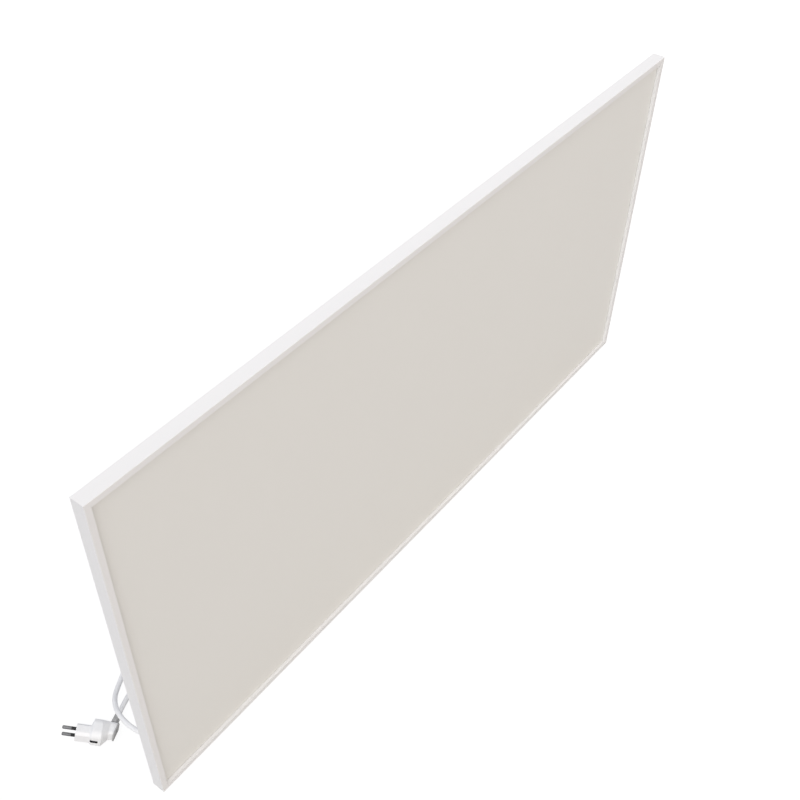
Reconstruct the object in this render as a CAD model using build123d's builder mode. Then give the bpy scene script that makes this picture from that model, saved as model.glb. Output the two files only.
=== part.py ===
from build123d import *
from itertools import product
from math import cos, pi, radians, sin, sqrt, tan
import os

# Infrared panel heater, standing on its lower long edge.
# X runs along the panel, Y from the front to the rear, Z up.
# The origin is the middle of the foot of the whole panel with its rear fittings, in millimetres.

# ---- Panel and frame ---------------------------------------------------------------------------
PANEL_WIDTH = 1200.0
PANEL_HEIGHT = 600.0
OVERALL_DEPTH = 52.0  # front of the frame to the wall side of the bracket pads
FRAME_DEPTH = 20.5
FRAME_WALL = 1.4
LIP_WIDTH = 8.8  # front face of the frame
LIP_OUTER_RADIUS = 0.5
LIP_INNER_RADIUS = 0.9
PLATE_SETBACK = 5.5  # front of the frame to the front plate
GASKET_THICKNESS = 0.5
GASKET_SETBACK = 0.6  # gasket edge behind the edge of the lip
FLANGE_WIDTH = 12.0  # rear flange that carries the back cover
FLANGE_FRONT = 16.6
EDGE_GAP = 0.6  # sheet edges to the frame's outer wall

# ---- Plate, film and insulation ----------------------------------------------------------------
PLATE_THICKNESS = 1.0
PLATE_CORNER_RADIUS = 2.0
FILM_MARGIN = 16.0  # edge of the films inside the panel's edge
FILM_THICKNESS = 0.25
CARBON_THICKNESS = 0.2
CARBON_STRIP_WIDTH = 24.0
CARBON_STRIP_PITCH = 32.0
CARBON_MARGIN = 24.0
BUSBAR_WIDTH = 12.0
BUSBAR_THICKNESS = 0.15
FOIL_THICKNESS = 0.15

# ---- Back cover --------------------------------------------------------------------------------
COVER_SHEET = 0.8
COVER_RIM = 28.0  # flat rim outside the raised field
COVER_RAISE = 1.2
COVER_FIELD_RADIUS = 14.0
SCREW_INSET = 6.7  # screw line inside the panel's edge
LONG_EDGE_SCREW_COUNT = 7
SHORT_EDGE_SCREW_COUNT = 3
SCREW_CORNER_GAP = 95.0  # first ordinary screw from the corner
CORNER_SCREW_OFFSET = 32.0
KEY_LEG = 44.0
KEY_THICKNESS = 2.0
KEY_WIDTH = 9.6
SHANK_RADIUS = 1.7
SHANK_LENGTH = 6.5
HEAD_RADIUS = 3.3
HEAD_HEIGHT = 1.6
HOLE_CLEARANCE = 0.1
SLIDE_CLEARANCE = 0.2

# ---- Hanger brackets ---------------------------------------------------------------------------
BRACKET_INSET_X = 180.0  # middle of a bracket from the panel's side
BRACKET_LOW_Z = 150.0
BRACKET_TOP_GAP = 110.0  # underside of an upper bracket below the panel's top
BRACKET_WIDTH = 62.0
BRACKET_FOOT = 24.0
BRACKET_WALL_FLANGE = 36.0
BRACKET_SHEET = 2.0
BRACKET_BEND = 2.0
BRACKET_CORNER = 5.0
PAD_THICKNESS = 1.2
KEYHOLE_HEAD_RADIUS = 5.5
KEYHOLE_NECK_RADIUS = 2.8
KEYHOLE_RISE = 10.0
WALL_HOLE_RADIUS = 2.75
WALL_HOLE_OFFSET = 21.0
RIVET_SPACING = 40.0
RIVET_RADIUS = 2.0
RIVET_HEAD_RADIUS = 4.0
RIVET_HEAD_HEIGHT = 1.2
RIVET_BULB_RADIUS = 3.1
RIVET_BULB_HEIGHT = 0.9

# ---- Terminal box ------------------------------------------------------------------------------
BOX_INSET = 120.0  # cord side of the box from the panel's left side
BOX_CENTRE_Z = 52.0
BOX_WIDTH = 100.0
BOX_HEIGHT = 64.0
BOX_BASE_DEPTH = 26.6
BOX_LID_DEPTH = 3.6
BOX_WALL = 2.0
BOX_CORNER = 6.0
POST_RADIUS = 3.4
POST_INSET = 6.5
LID_LIP = 2.0
LID_EDGE_RADIUS = 1.2
GROMMET_INSET = 20.0  # grommet and earth stud from the box's right side
GROMMET_RISE = 12.0
GROMMET_RADIUS = 7.0
GROMMET_BORE = 4.4
STUD_DROP = 16.0
STUD_RADIUS = 2.0
STUD_LENGTH = 11.0
NUT_WIDTH = 7.0
NUT_HEIGHT = 3.2
WIRE_DIAMETER = 2.4
BLOCK_WIDTH = 16.0
BLOCK_PITCH = 10.0
BLOCK_HEIGHT = 14.0
INSERT_RADIUS = 2.4
INSERT_BORE = 1.3
CLAMP_INSET = 19.0  # cord clamp from the box's cord side
CLAMP_WIDTH = 7.0
CLAMP_LENGTH = 30.0
CLAMP_THICKNESS = 2.5
CLAMP_SCREW_OFFSET = 11.0

# ---- Wires and thermal cut-outs inside the panel -----------------------------------------------
CHANNEL_WIDTH = 15.0
CHANNEL_DEPTH = 8.5
WIRE_DEPTH = 13.5  # centre of the inner wires behind the front of the frame
CUTOUT_LOW_Z = 220.0
CUTOUT_TOP_GAP = 200.0
CUTOUT_RADIUS = 7.5
CUTOUT_HEIGHT = 8.0
CUTOUT_FLANGE_RADIUS = 9.0
CUTOUT_TAB = 4.0
TERMINAL_WIDTH = 9.0
TERMINAL_BARREL = 4.6
NEUTRAL_OFFSET = 4.0

# ---- Cord and gland ----------------------------------------------------------------------------
CORD_DIAMETER = 7.2
GLAND_RISE = 15.5  # gland axis above the back cover's raised field
GLAND_THREAD_RADIUS = 8.0
GLAND_BORE = 4.8
GLAND_THREAD_LENGTH = 8.0
GLAND_HEX = 22.0
GLAND_HEX_LENGTH = 5.0
GLAND_NECK_RADIUS = 6.8
GLAND_NECK_LENGTH = 6.0
LOCKNUT_HEX = 21.0
LOCKNUT_LENGTH = 3.5
DOME_RADIUS = 9.6
DOME_LENGTH = 12.0
DOME_WALL = 1.4
RELIEF_LENGTH = 22.0
RELIEF_BASE_RADIUS = 6.6
RELIEF_TIP_RADIUS = 4.7
RELIEF_RINGS = 6
RING_GROOVE = 0.7

# ---- Put-away coil -----------------------------------------------------------------------------
COIL_LEAD_IN = 35.0  # last straight runs before the coil
COIL_LEAD_OUT = 30.0
COIL_INSET_X = 215.0  # middle of the coil from the panel's left side
COIL_CENTRE_Y = 160.0
COIL_OUTER_RADIUS = 49.2  # centre of the outermost turn
TURN_PITCH = 7.7
LAYER_RISE = 7.7
HALF_TURNS = 5  # in each of the two layers
REVERSAL_DIP = 1.6  # the reversing half turn lies this much further in
TIE_WIDTH = 6.0
TIE_WALL = 1.0
TIE_CLEARANCE = 0.6
FLOOR_GAP = 0.1

# ---- Plug --------------------------------------------------------------------------------------
PLUG_OUTSET_X = 20.0  # middle of the front face beyond the panel's left side, as the plug lies
PLUG_FACE_Y = 123.4
PLUG_FACE_Z = 25.2
PLUG_YAW = 36.7
PLUG_PITCH = 14.0  # it rests on its collar and its grip, so the pins point up a little
LEAD_LEAN = 12.5  # the lead leaves leaning back by this much
PIN_DIAMETER = 4.8
PIN_LENGTH = 19.0
PIN_SPACING = 19.0
PIN_ROOT = 14.0
PIN_SLEEVE_LENGTH = 6.5
PIN_SLEEVE_WALL = 0.35
BLOCK_LENGTH = 19.6
BLOCK_NEAR = 9.3  # reach of the front block towards the room, from the plane of the pins
BLOCK_FAR = 9.1
BLOCK_HALF_HEIGHT = 12.6
BLOCK_CHAMFER = 4.0
FACE_EDGE_CHAMFER = 0.8
EARTH_HOLE_RADIUS = 2.6
COLLAR_START = 22.5
COLLAR_END = 35.3
COLLAR_NEAR = 11.0
COLLAR_FAR = 19.2
COLLAR_HALF_HEIGHT = 17.0
COLLAR_CORNER = 9.5
COLLAR_LEAN = -5.0
WAIST_START = 44.0
WAIST_NEAR = 1.4
WAIST_FAR = 19.2
WAIST_HALF_HEIGHT = 11.4
WAIST_CORNER = 5.0
WAIST_LEAN = 3.0
WAIST_END = 50.6
WAIST_END_NEAR = 0.4
GRIP_THICKNESS = 2.4
GRIP_NEAR = 0.8
GRIP_FAR = 18.4
GRIP_HALF_HEIGHT = 11.9
GRIP_CORNER = 3.6
GRIP_LEAN = 12.0
EARTH_SLOT_WIDTH = 6.4
EARTH_SLOT_START = 21.3
EARTH_SLOT_END = 32.2
EARTH_SLOT_DEPTH = 2.6
EARTH_STRIP_THICKNESS = 0.8
PLUG_RELIEF_LENGTH = 20.0
PLUG_RELIEF_BASE = 5.6
PLUG_RELIEF_TIP = 4.6
PLUG_RELIEF_SEAT = 4.0
PLUG_RELIEF_X = 44.3  # lead's axis behind the front face
LEAD_START_RUN = 18.0

# ---- Derived places ----------------------------------------------------------------------------
LEFT_X = -PANEL_WIDTH / 2
FRONT_Y = -OVERALL_DEPTH / 2
MIDDLE_Z = PANEL_HEIGHT / 2
WEB_REAR = PLATE_SETBACK - GASKET_THICKNESS
PLATE_REAR = PLATE_SETBACK + PLATE_THICKNESS
CARBON_FRONT = PLATE_REAR + FILM_THICKNESS
BUSBAR_FRONT = CARBON_FRONT + CARBON_THICKNESS
REAR_FILM_FRONT = BUSBAR_FRONT + BUSBAR_THICKNESS
FOIL_FRONT = REAR_FILM_FRONT + FILM_THICKNESS
BOARD_FRONT = FOIL_FRONT + FOIL_THICKNESS
FLANGE_REAR = FLANGE_FRONT + FRAME_WALL
COVER_REAR = FLANGE_REAR + COVER_SHEET
FIELD_FRONT = FLANGE_REAR + COVER_RAISE
FIELD_REAR = FIELD_FRONT + COVER_SHEET
BOX_FLOOR = FIELD_REAR + BOX_WALL
BASE_REAR = FIELD_REAR + BOX_BASE_DEPTH
LID_REAR = BASE_REAR + BOX_LID_DEPTH
BOX_LEFT = LEFT_X + BOX_INSET
BOX_CENTRE_X = BOX_LEFT + BOX_WIDTH / 2
GROMMET_X = BOX_LEFT + BOX_WIDTH - GROMMET_INSET
GROMMET_Z = BOX_CENTRE_Z + GROMMET_RISE
STUD_Z = BOX_CENTRE_Z - STUD_DROP
BLOCK_X = BOX_CENTRE_X - 2.0
CLAMP_X = BOX_LEFT + CLAMP_INSET
CUTOUT_HEIGHTS = (CUTOUT_LOW_Z, PANEL_HEIGHT - CUTOUT_TOP_GAP)
GLAND_DEPTH = FIELD_REAR + GLAND_RISE
BLOCK_FRONT = GLAND_DEPTH - BLOCK_HEIGHT / 2
PAD_FRONT = OVERALL_DEPTH - PAD_THICKNESS
GLAND_Y = FRONT_Y + GLAND_DEPTH
CORD_RADIUS = CORD_DIAMETER / 2
WIRE_RADIUS = WIRE_DIAMETER / 2
COIL_CENTRE_X = LEFT_X + COIL_INSET_X
PLUG_FACE = Vector(LEFT_X - PLUG_OUTSET_X, PLUG_FACE_Y, PLUG_FACE_Z)
COIL_LOW_Z = FLOOR_GAP + TIE_WALL + TIE_CLEARANCE + CORD_RADIUS
COIL_HIGH_Z = COIL_LOW_Z + LAYER_RISE

os.makedirs("parts", exist_ok=True)


def depth_plane(depth):
    """A plane parallel to the panel, this far behind the front of the frame, facing forwards."""
    return Plane.XZ.offset(-(FRONT_Y + depth))


def save(piece, label):
    """Names a finished piece and writes it."""
    piece.part.label = label
    export_step(piece.part, f"parts/{label}.step")


# ---- Places of screws and brackets -------------------------------------------------------------
def spread(low, high, count):
    """Evenly spaced places from low to high."""
    return [low + (high - low) * i / (count - 1) for i in range(count)]


screw_x = PANEL_WIDTH / 2 - SCREW_INSET
long_run = PANEL_WIDTH / 2 - SCREW_CORNER_GAP
cover_screw_points = [
    (x, z)
    for x in spread(-long_run, long_run, LONG_EDGE_SCREW_COUNT)
    for z in (SCREW_INSET, PANEL_HEIGHT - SCREW_INSET)
]
cover_screw_points += [
    (x, z)
    for z in spread(SCREW_CORNER_GAP, PANEL_HEIGHT - SCREW_CORNER_GAP, SHORT_EDGE_SCREW_COUNT)
    for x in (-screw_x, screw_x)
]
corner_screw_points = []
for side, low in product((-1, 1), (True, False)):
    near_z = SCREW_INSET if low else PANEL_HEIGHT - SCREW_INSET
    far_z = CORNER_SCREW_OFFSET if low else PANEL_HEIGHT - CORNER_SCREW_OFFSET
    corner_screw_points.append((side * (PANEL_WIDTH / 2 - CORNER_SCREW_OFFSET), near_z))
    corner_screw_points.append((side * screw_x, far_z))

bracket_x = PANEL_WIDTH / 2 - BRACKET_INSET_X
bracket_high_z = PANEL_HEIGHT - BRACKET_TOP_GAP
bracket_places = {
    "lower_left": (-bracket_x, BRACKET_LOW_Z),
    "lower_right": (bracket_x, BRACKET_LOW_Z),
    "upper_left": (-bracket_x, bracket_high_z),
    "upper_right": (bracket_x, bracket_high_z),
}
rivet_points = [
    (x + offset, z + BRACKET_FOOT / 2)
    for x, z in bracket_places.values()
    for offset in (-RIVET_SPACING / 2, RIVET_SPACING / 2)
]
box_screw_points = [(BOX_CENTRE_X - 22.0, BOX_CENTRE_Z + 24.0), (BOX_CENTRE_X - 22.0, BOX_CENTRE_Z - 24.0)]
post_points = [
    (BOX_CENTRE_X + sx * (BOX_WIDTH / 2 - POST_INSET), BOX_CENTRE_Z + sz * (BOX_HEIGHT / 2 - POST_INSET))
    for sx, sz in product((-1, 1), (-1, 1))
]


# ---- Frame rails -------------------------------------------------------------------------------
def make_rail(middle, inward, length):
    """One extruded rail: outer wall, front lip on a hollow chamber, rear flange, mitred ends."""
    axis = inward.cross(Vector(0, 1, 0))
    with BuildPart() as rail:
        with BuildSketch(Plane(origin=middle, x_dir=inward, z_dir=axis)) as profile:
            Rectangle(FRAME_WALL, FRAME_DEPTH, align=Align.MIN)
            Rectangle(LIP_WIDTH, WEB_REAR, align=Align.MIN)
            with Locations((0, FLANGE_FRONT)):
                Rectangle(FLANGE_WIDTH, FRAME_WALL, align=Align.MIN)
            with Locations((FRAME_WALL, FRAME_WALL)):
                chamber_width = LIP_WIDTH - 2 * FRAME_WALL
                chamber_depth = WEB_REAR - 2 * FRAME_WALL
                Rectangle(chamber_width, chamber_depth, align=Align.MIN, mode=Mode.SUBTRACT)
            front_corners = profile.vertices().group_by(Axis.Y)[0].sort_by(Axis.X)
            fillet(front_corners[0], LIP_OUTER_RADIUS)
            fillet(front_corners[-1], LIP_INNER_RADIUS)
            fillet(profile.vertices().group_by(Axis.Y)[-1], LIP_OUTER_RADIUS)
        extrude(amount=length / 2, both=True)
        for way in (-1, 1):
            corner = middle + axis * (way * length / 2)
            split(bisect_by=Plane(origin=corner, z_dir=inward + axis * way), keep=Keep.BOTTOM)
        with BuildSketch(depth_plane(FLANGE_FRONT)):
            with Locations(*cover_screw_points, *corner_screw_points):
                Circle(SHANK_RADIUS + HOLE_CLEARANCE)
        extrude(amount=-FRAME_WALL, mode=Mode.SUBTRACT)
    return rail


rail_layout = {
    "frame_rail_bottom": (Vector(0, FRONT_Y, 0), Vector(0, 0, 1), PANEL_WIDTH),
    "frame_rail_top": (Vector(0, FRONT_Y, PANEL_HEIGHT), Vector(0, 0, -1), PANEL_WIDTH),
    "frame_rail_left": (Vector(-PANEL_WIDTH / 2, FRONT_Y, MIDDLE_Z), Vector(1, 0, 0), PANEL_HEIGHT),
    "frame_rail_right": (Vector(PANEL_WIDTH / 2, FRONT_Y, MIDDLE_Z), Vector(-1, 0, 0), PANEL_HEIGHT),
}
for label, (middle, inward, length) in rail_layout.items():
    save(make_rail(middle, inward, length), label)

# ---- Corner keys: flat angles in front of the rear flange --------------------------------------
key_outer = FRAME_WALL + SLIDE_CLEARANCE
key_inner = key_outer + KEY_WIDTH
with BuildPart() as corner_keys:
    with BuildSketch(depth_plane(FLANGE_FRONT - KEY_THICKNESS)):
        for side, low in product((-1, 1), (True, False)):
            outline = []
            for s, t in (
                (key_outer, key_outer),
                (KEY_LEG, key_outer),
                (KEY_LEG, key_inner),
                (key_inner, key_inner),
                (key_inner, KEY_LEG),
                (key_outer, KEY_LEG),
            ):
                outline.append((side * (PANEL_WIDTH / 2 - s), t if low else PANEL_HEIGHT - t))
            with BuildLine():
                Polyline(*outline, close=True)
            make_face()
        with Locations(*corner_screw_points):
            Circle(SHANK_RADIUS + HOLE_CLEARANCE, mode=Mode.SUBTRACT)
    extrude(amount=-KEY_THICKNESS)
save(corner_keys, "corner_keys")


# ---- Flat layers behind the lip ----------------------------------------------------------------
def make_sheet(front, thickness, margin, radius):
    """A sheet with rounded corners, its edge this far inside the panel's edge."""
    with BuildPart() as sheet:
        with BuildSketch(depth_plane(front)):
            with Locations((0, MIDDLE_Z)):
                RectangleRounded(PANEL_WIDTH - 2 * margin, PANEL_HEIGHT - 2 * margin, radius)
        extrude(amount=-thickness)
    return sheet


sheet_margin = FRAME_WALL + EDGE_GAP
save(make_sheet(PLATE_SETBACK, PLATE_THICKNESS, sheet_margin, PLATE_CORNER_RADIUS), "front_plate")
save(make_sheet(PLATE_REAR, FILM_THICKNESS, FILM_MARGIN, PLATE_CORNER_RADIUS), "front_insulating_film")

with BuildPart() as plate_gasket:
    gasket_inner = LIP_WIDTH - GASKET_SETBACK
    gasket_width = gasket_inner - sheet_margin
    with BuildSketch(depth_plane(WEB_REAR)):
        long_middle = sheet_margin + gasket_width / 2
        with Locations((0, long_middle), (0, PANEL_HEIGHT - long_middle)):
            Rectangle(PANEL_WIDTH - 2 * sheet_margin, gasket_width)
        short_length = PANEL_HEIGHT - 2 * gasket_inner - 2 * SLIDE_CLEARANCE
        side_x = PANEL_WIDTH / 2 - long_middle
        with Locations((-side_x, MIDDLE_Z), (side_x, MIDDLE_Z)):
            Rectangle(gasket_width, short_length)
    extrude(amount=-GASKET_THICKNESS)
save(plate_gasket, "plate_gasket")

carbon_height = PANEL_HEIGHT - 2 * CARBON_MARGIN
strip_count = int((PANEL_WIDTH - 2 * CARBON_MARGIN) // CARBON_STRIP_PITCH)
with BuildPart() as carbon_strips:
    with BuildSketch(depth_plane(CARBON_FRONT)):
        with Locations((0, MIDDLE_Z)):
            with GridLocations(CARBON_STRIP_PITCH, 1, strip_count, 1):
                Rectangle(CARBON_STRIP_WIDTH, carbon_height)
    extrude(amount=-CARBON_THICKNESS)
save(carbon_strips, "carbon_strips")

busbar_z = (CARBON_MARGIN + BUSBAR_WIDTH / 2, PANEL_HEIGHT - CARBON_MARGIN - BUSBAR_WIDTH / 2)
with BuildPart() as busbars:
    with BuildSketch(depth_plane(BUSBAR_FRONT)):
        with Locations((0, busbar_z[0]), (0, busbar_z[1])):
            Rectangle(strip_count * CARBON_STRIP_PITCH, BUSBAR_WIDTH)
    extrude(amount=-BUSBAR_THICKNESS)
save(busbars, "busbars")

# Windows over the two busbar terminals, and the wire channel between them.
terminal_points = [(GROMMET_X - NEUTRAL_OFFSET, busbar_z[0]), (GROMMET_X, busbar_z[1])]
window = TERMINAL_WIDTH + 2.0


def make_backing(front, thickness, margin, label):
    """A film or foil with windows over the busbar terminals."""
    with BuildPart() as backing:
        with BuildSketch(depth_plane(front)):
            with Locations((0, MIDDLE_Z)):
                width = PANEL_WIDTH - 2 * margin
                height = PANEL_HEIGHT - 2 * margin
                RectangleRounded(width, height, PLATE_CORNER_RADIUS)
            with Locations(*terminal_points):
                Rectangle(window, window, mode=Mode.SUBTRACT)
        extrude(amount=-thickness)
    save(backing, label)


make_backing(REAR_FILM_FRONT, FILM_THICKNESS, FILM_MARGIN, "rear_insulating_film")
make_backing(FOIL_FRONT, FOIL_THICKNESS, FILM_MARGIN, "reflector_foil")

cutout_points = [(GROMMET_X, z) for z in CUTOUT_HEIGHTS]
with BuildPart() as insulation_board:
    with BuildSketch(depth_plane(BOARD_FRONT)):
        with Locations((0, MIDDLE_Z)):
            board_margin = FLANGE_WIDTH + EDGE_GAP
            Rectangle(PANEL_WIDTH - 2 * board_margin, PANEL_HEIGHT - 2 * board_margin)
        with Locations(*cutout_points):
            Circle(CUTOUT_FLANGE_RADIUS + 1.0, mode=Mode.SUBTRACT)
        with Locations(*terminal_points):
            Rectangle(window, window, mode=Mode.SUBTRACT)
    extrude(amount=-(FLANGE_REAR - BOARD_FRONT))
    with BuildSketch(depth_plane(FLANGE_REAR)):
        channel_low = busbar_z[0]
        channel_high = busbar_z[1]
        with Locations((GROMMET_X - NEUTRAL_OFFSET / 2, (channel_low + channel_high) / 2)):
            Rectangle(CHANNEL_WIDTH, channel_high - channel_low)
    extrude(amount=CHANNEL_DEPTH, mode=Mode.SUBTRACT)
save(insulation_board, "insulation_board")

# ---- Back cover: a flat rim and a raised field with sloped sides -------------------------------
with BuildPart() as back_cover:
    with BuildSketch(depth_plane(FLANGE_REAR)):
        with Locations((0, MIDDLE_Z)):
            cover_width = PANEL_WIDTH - 2 * sheet_margin
            cover_height = PANEL_HEIGHT - 2 * sheet_margin
            RectangleRounded(cover_width, cover_height, PLATE_CORNER_RADIUS)
    extrude(amount=-COVER_SHEET)
    field_width = PANEL_WIDTH - 2 * COVER_RIM
    field_height = PANEL_HEIGHT - 2 * COVER_RIM
    with BuildSketch(depth_plane(COVER_REAR)):
        with Locations((0, MIDDLE_Z)):
            RectangleRounded(field_width, field_height, COVER_FIELD_RADIUS)
    extrude(amount=-COVER_RAISE, taper=55)
    with BuildSketch(depth_plane(FLANGE_REAR)):
        with Locations((0, MIDDLE_Z)):
            inset = 2 * COVER_SHEET
            RectangleRounded(field_width - inset, field_height - inset, COVER_FIELD_RADIUS - COVER_SHEET)
    extrude(amount=-COVER_RAISE, taper=55, mode=Mode.SUBTRACT)
    with BuildSketch(depth_plane(FLANGE_REAR)):
        with Locations(*cover_screw_points, *corner_screw_points, *box_screw_points):
            Circle(SHANK_RADIUS + HOLE_CLEARANCE)
        with Locations(*rivet_points):
            Circle(RIVET_RADIUS + HOLE_CLEARANCE)
        with Locations((GROMMET_X, GROMMET_Z)):
            Circle(GROMMET_RADIUS - 1.5)
        with Locations((GROMMET_X, STUD_Z)):
            Circle(STUD_RADIUS + HOLE_CLEARANCE)
    extrude(amount=-(FIELD_REAR - FLANGE_REAR), mode=Mode.SUBTRACT)
save(back_cover, "back_cover")


# ---- Screws driven from the rear ---------------------------------------------------------------
def make_screws(points, seat, shank_length, shank_radius, head_radius, head_height):
    """Pan-head screws whose heads lie on the seat and whose shanks point forwards."""
    with BuildPart() as screws:
        with BuildSketch(depth_plane(seat)):
            with Locations(*points):
                Circle(head_radius)
        extrude(amount=-head_height)
        chamfer(screws.edges().filter_by(GeomType.CIRCLE).group_by(Axis.Y)[-1], head_height * 0.4)
        with BuildSketch(depth_plane(seat)):
            with Locations(*points):
                Circle(shank_radius)
        extrude(amount=shank_length)
    return screws


cover_fixing = (COVER_REAR, SHANK_LENGTH, SHANK_RADIUS, HEAD_RADIUS, HEAD_HEIGHT)
save(make_screws(cover_screw_points, *cover_fixing), "cover_screws")
save(make_screws(corner_screw_points, *cover_fixing), "corner_screws")
box_fixing = (BOX_FLOOR, BOX_FLOOR - FIELD_FRONT + 0.8, SHANK_RADIUS, HEAD_RADIUS, HEAD_HEIGHT)
save(make_screws(box_screw_points, *box_fixing), "box_mounting_screws")
lid_fixing = (LID_REAR, BOX_LID_DEPTH + 8.0, 1.4, 2.6, 1.2)
save(make_screws(post_points, *lid_fixing), "lid_screws")


# ---- Hanger brackets ---------------------------------------------------------------------------
def make_bracket(x, z):
    """A folded bracket: foot on the cover, web outwards, wall flange with key-hole and round hole."""
    foot = FRONT_Y + FIELD_REAR
    wall = FRONT_Y + PAD_FRONT
    with BuildPart() as bracket:
        with BuildSketch(Plane.YZ.offset(x)):
            with BuildLine():
                FilletPolyline(
                    (foot, z + BRACKET_FOOT),
                    (foot, z),
                    (wall, z),
                    (wall, z + BRACKET_WALL_FLANGE),
                    radius=BRACKET_BEND + BRACKET_SHEET,
                )
                offset(amount=BRACKET_SHEET, side=Side.LEFT)
            make_face()
        extrude(amount=BRACKET_WIDTH / 2, both=True)
        corners = bracket.edges().filter_by(Axis.Y).group_by(Axis.Z)
        fillet(corners[-1], BRACKET_CORNER)
        with BuildSketch(depth_plane(PAD_FRONT)):
            hole_side = 1 if x > 0 else -1
            neck_z = z + BRACKET_WALL_FLANGE / 2 + KEYHOLE_RISE / 2
            with Locations((x, neck_z - KEYHOLE_RISE)):
                Circle(KEYHOLE_HEAD_RADIUS)
            with Locations((x, neck_z)):
                Circle(KEYHOLE_NECK_RADIUS)
            with Locations((x, neck_z - KEYHOLE_RISE / 2)):
                Rectangle(2 * KEYHOLE_NECK_RADIUS, KEYHOLE_RISE)
            with Locations((x + hole_side * WALL_HOLE_OFFSET, z + BRACKET_WALL_FLANGE / 2)):
                Circle(WALL_HOLE_RADIUS)
        extrude(amount=BRACKET_SHEET, mode=Mode.SUBTRACT)
        with BuildSketch(depth_plane(FIELD_REAR)):
            with Locations(*rivet_points):
                Circle(RIVET_RADIUS + HOLE_CLEARANCE)
        extrude(amount=-BRACKET_SHEET, mode=Mode.SUBTRACT)
    return bracket


for place, (x, z) in bracket_places.items():
    save(make_bracket(x, z), f"hanger_bracket_{place}")

with BuildPart() as bracket_pads:
    with BuildSketch(depth_plane(PAD_FRONT)):
        for x, z in bracket_places.values():
            free_side = -1 if x > 0 else 1
            with Locations((x + free_side * WALL_HOLE_OFFSET, z + BRACKET_WALL_FLANGE / 2)):
                RectangleRounded(12.0, BRACKET_WALL_FLANGE - 12.0, 3.0)
    extrude(amount=-PAD_THICKNESS)
save(bracket_pads, "bracket_pads")

with BuildPart() as bracket_rivets:
    rivet_seat = FIELD_REAR + BRACKET_SHEET
    with BuildSketch(depth_plane(rivet_seat)):
        with Locations(*rivet_points):
            Circle(RIVET_HEAD_RADIUS)
    extrude(amount=-RIVET_HEAD_HEIGHT)
    chamfer(bracket_rivets.edges().filter_by(GeomType.CIRCLE).group_by(Axis.Y)[-1], RIVET_HEAD_HEIGHT * 0.6)
    with BuildSketch(depth_plane(rivet_seat)):
        with Locations(*rivet_points):
            Circle(RIVET_RADIUS)
    extrude(amount=rivet_seat - FIELD_FRONT)
    with BuildSketch(depth_plane(FIELD_FRONT)):
        with Locations(*rivet_points):
            Circle(RIVET_BULB_RADIUS)
    extrude(amount=RIVET_BULB_HEIGHT)
save(bracket_rivets, "bracket_rivets")


# ---- Terminal box ------------------------------------------------------------------------------
def gland_plane(x):
    """A plane square to the gland's axis, facing outwards to the panel's left."""
    return Plane(origin=(x, GLAND_Y, BOX_CENTRE_Z), x_dir=(0, 1, 0), z_dir=(-1, 0, 0))


with BuildPart() as terminal_box_base:
    with BuildSketch(depth_plane(FIELD_REAR)):
        with Locations((BOX_CENTRE_X, BOX_CENTRE_Z)):
            RectangleRounded(BOX_WIDTH, BOX_HEIGHT, BOX_CORNER)
    extrude(amount=-BOX_BASE_DEPTH)
    offset(amount=-BOX_WALL, openings=terminal_box_base.faces().sort_by(Axis.Y)[-1])
    with BuildSketch(depth_plane(BOX_FLOOR)):
        with Locations(*post_points):
            Circle(POST_RADIUS)
    extrude(amount=-(BOX_BASE_DEPTH - BOX_WALL - LID_LIP))
    with BuildSketch(depth_plane(BASE_REAR)):
        with Locations(*post_points):
            Circle(1.4 + HOLE_CLEARANCE)
    extrude(amount=10.0, mode=Mode.SUBTRACT)
    with BuildSketch(depth_plane(FIELD_REAR)):
        with Locations(*box_screw_points):
            Circle(SHANK_RADIUS + HOLE_CLEARANCE)
        with Locations((GROMMET_X, GROMMET_Z)):
            Circle(GROMMET_RADIUS + 1.5)
        with Locations((GROMMET_X, STUD_Z - 3.0)):
            RectangleRounded(NUT_WIDTH + 6.0, 19.0, 3.0)
    extrude(amount=-BOX_WALL, mode=Mode.SUBTRACT)
    with BuildSketch(gland_plane(BOX_LEFT + BOX_WALL)):
        Circle(GLAND_THREAD_RADIUS + HOLE_CLEARANCE)
    extrude(amount=BOX_WALL, mode=Mode.SUBTRACT)
save(terminal_box_base, "terminal_box_base")

with BuildPart() as terminal_box_lid:
    with BuildSketch(depth_plane(BASE_REAR)):
        with Locations((BOX_CENTRE_X, BOX_CENTRE_Z)):
            RectangleRounded(BOX_WIDTH, BOX_HEIGHT, BOX_CORNER)
    extrude(amount=-BOX_LID_DEPTH)
    fillet(terminal_box_lid.faces().sort_by(Axis.Y)[-1].outer_wire().edges(), LID_EDGE_RADIUS)
    lip_side = 2 * (BOX_WALL + SLIDE_CLEARANCE)
    with BuildSketch(depth_plane(BASE_REAR)):
        with Locations((BOX_CENTRE_X, BOX_CENTRE_Z)):
            RectangleRounded(BOX_WIDTH - lip_side, BOX_HEIGHT - lip_side, BOX_CORNER - BOX_WALL)
            inner_side = lip_side + 2 * 1.2
            RectangleRounded(
                BOX_WIDTH - inner_side,
                BOX_HEIGHT - inner_side,
                BOX_CORNER - BOX_WALL - 1.2,
                mode=Mode.SUBTRACT,
            )
        with Locations(*post_points):
            Circle(POST_RADIUS + 0.5, mode=Mode.SUBTRACT)
        with Locations((BOX_LEFT + BOX_WALL, BOX_CENTRE_Z)):
            Rectangle(GLAND_THREAD_LENGTH, GLAND_HEX + 6.0, mode=Mode.SUBTRACT)
    extrude(amount=LID_LIP)
    with BuildSketch(depth_plane(LID_REAR)):
        with Locations(*post_points):
            Circle(1.4 + HOLE_CLEARANCE)
    extrude(amount=BOX_LID_DEPTH, mode=Mode.SUBTRACT)
save(terminal_box_lid, "terminal_box_lid")

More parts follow.
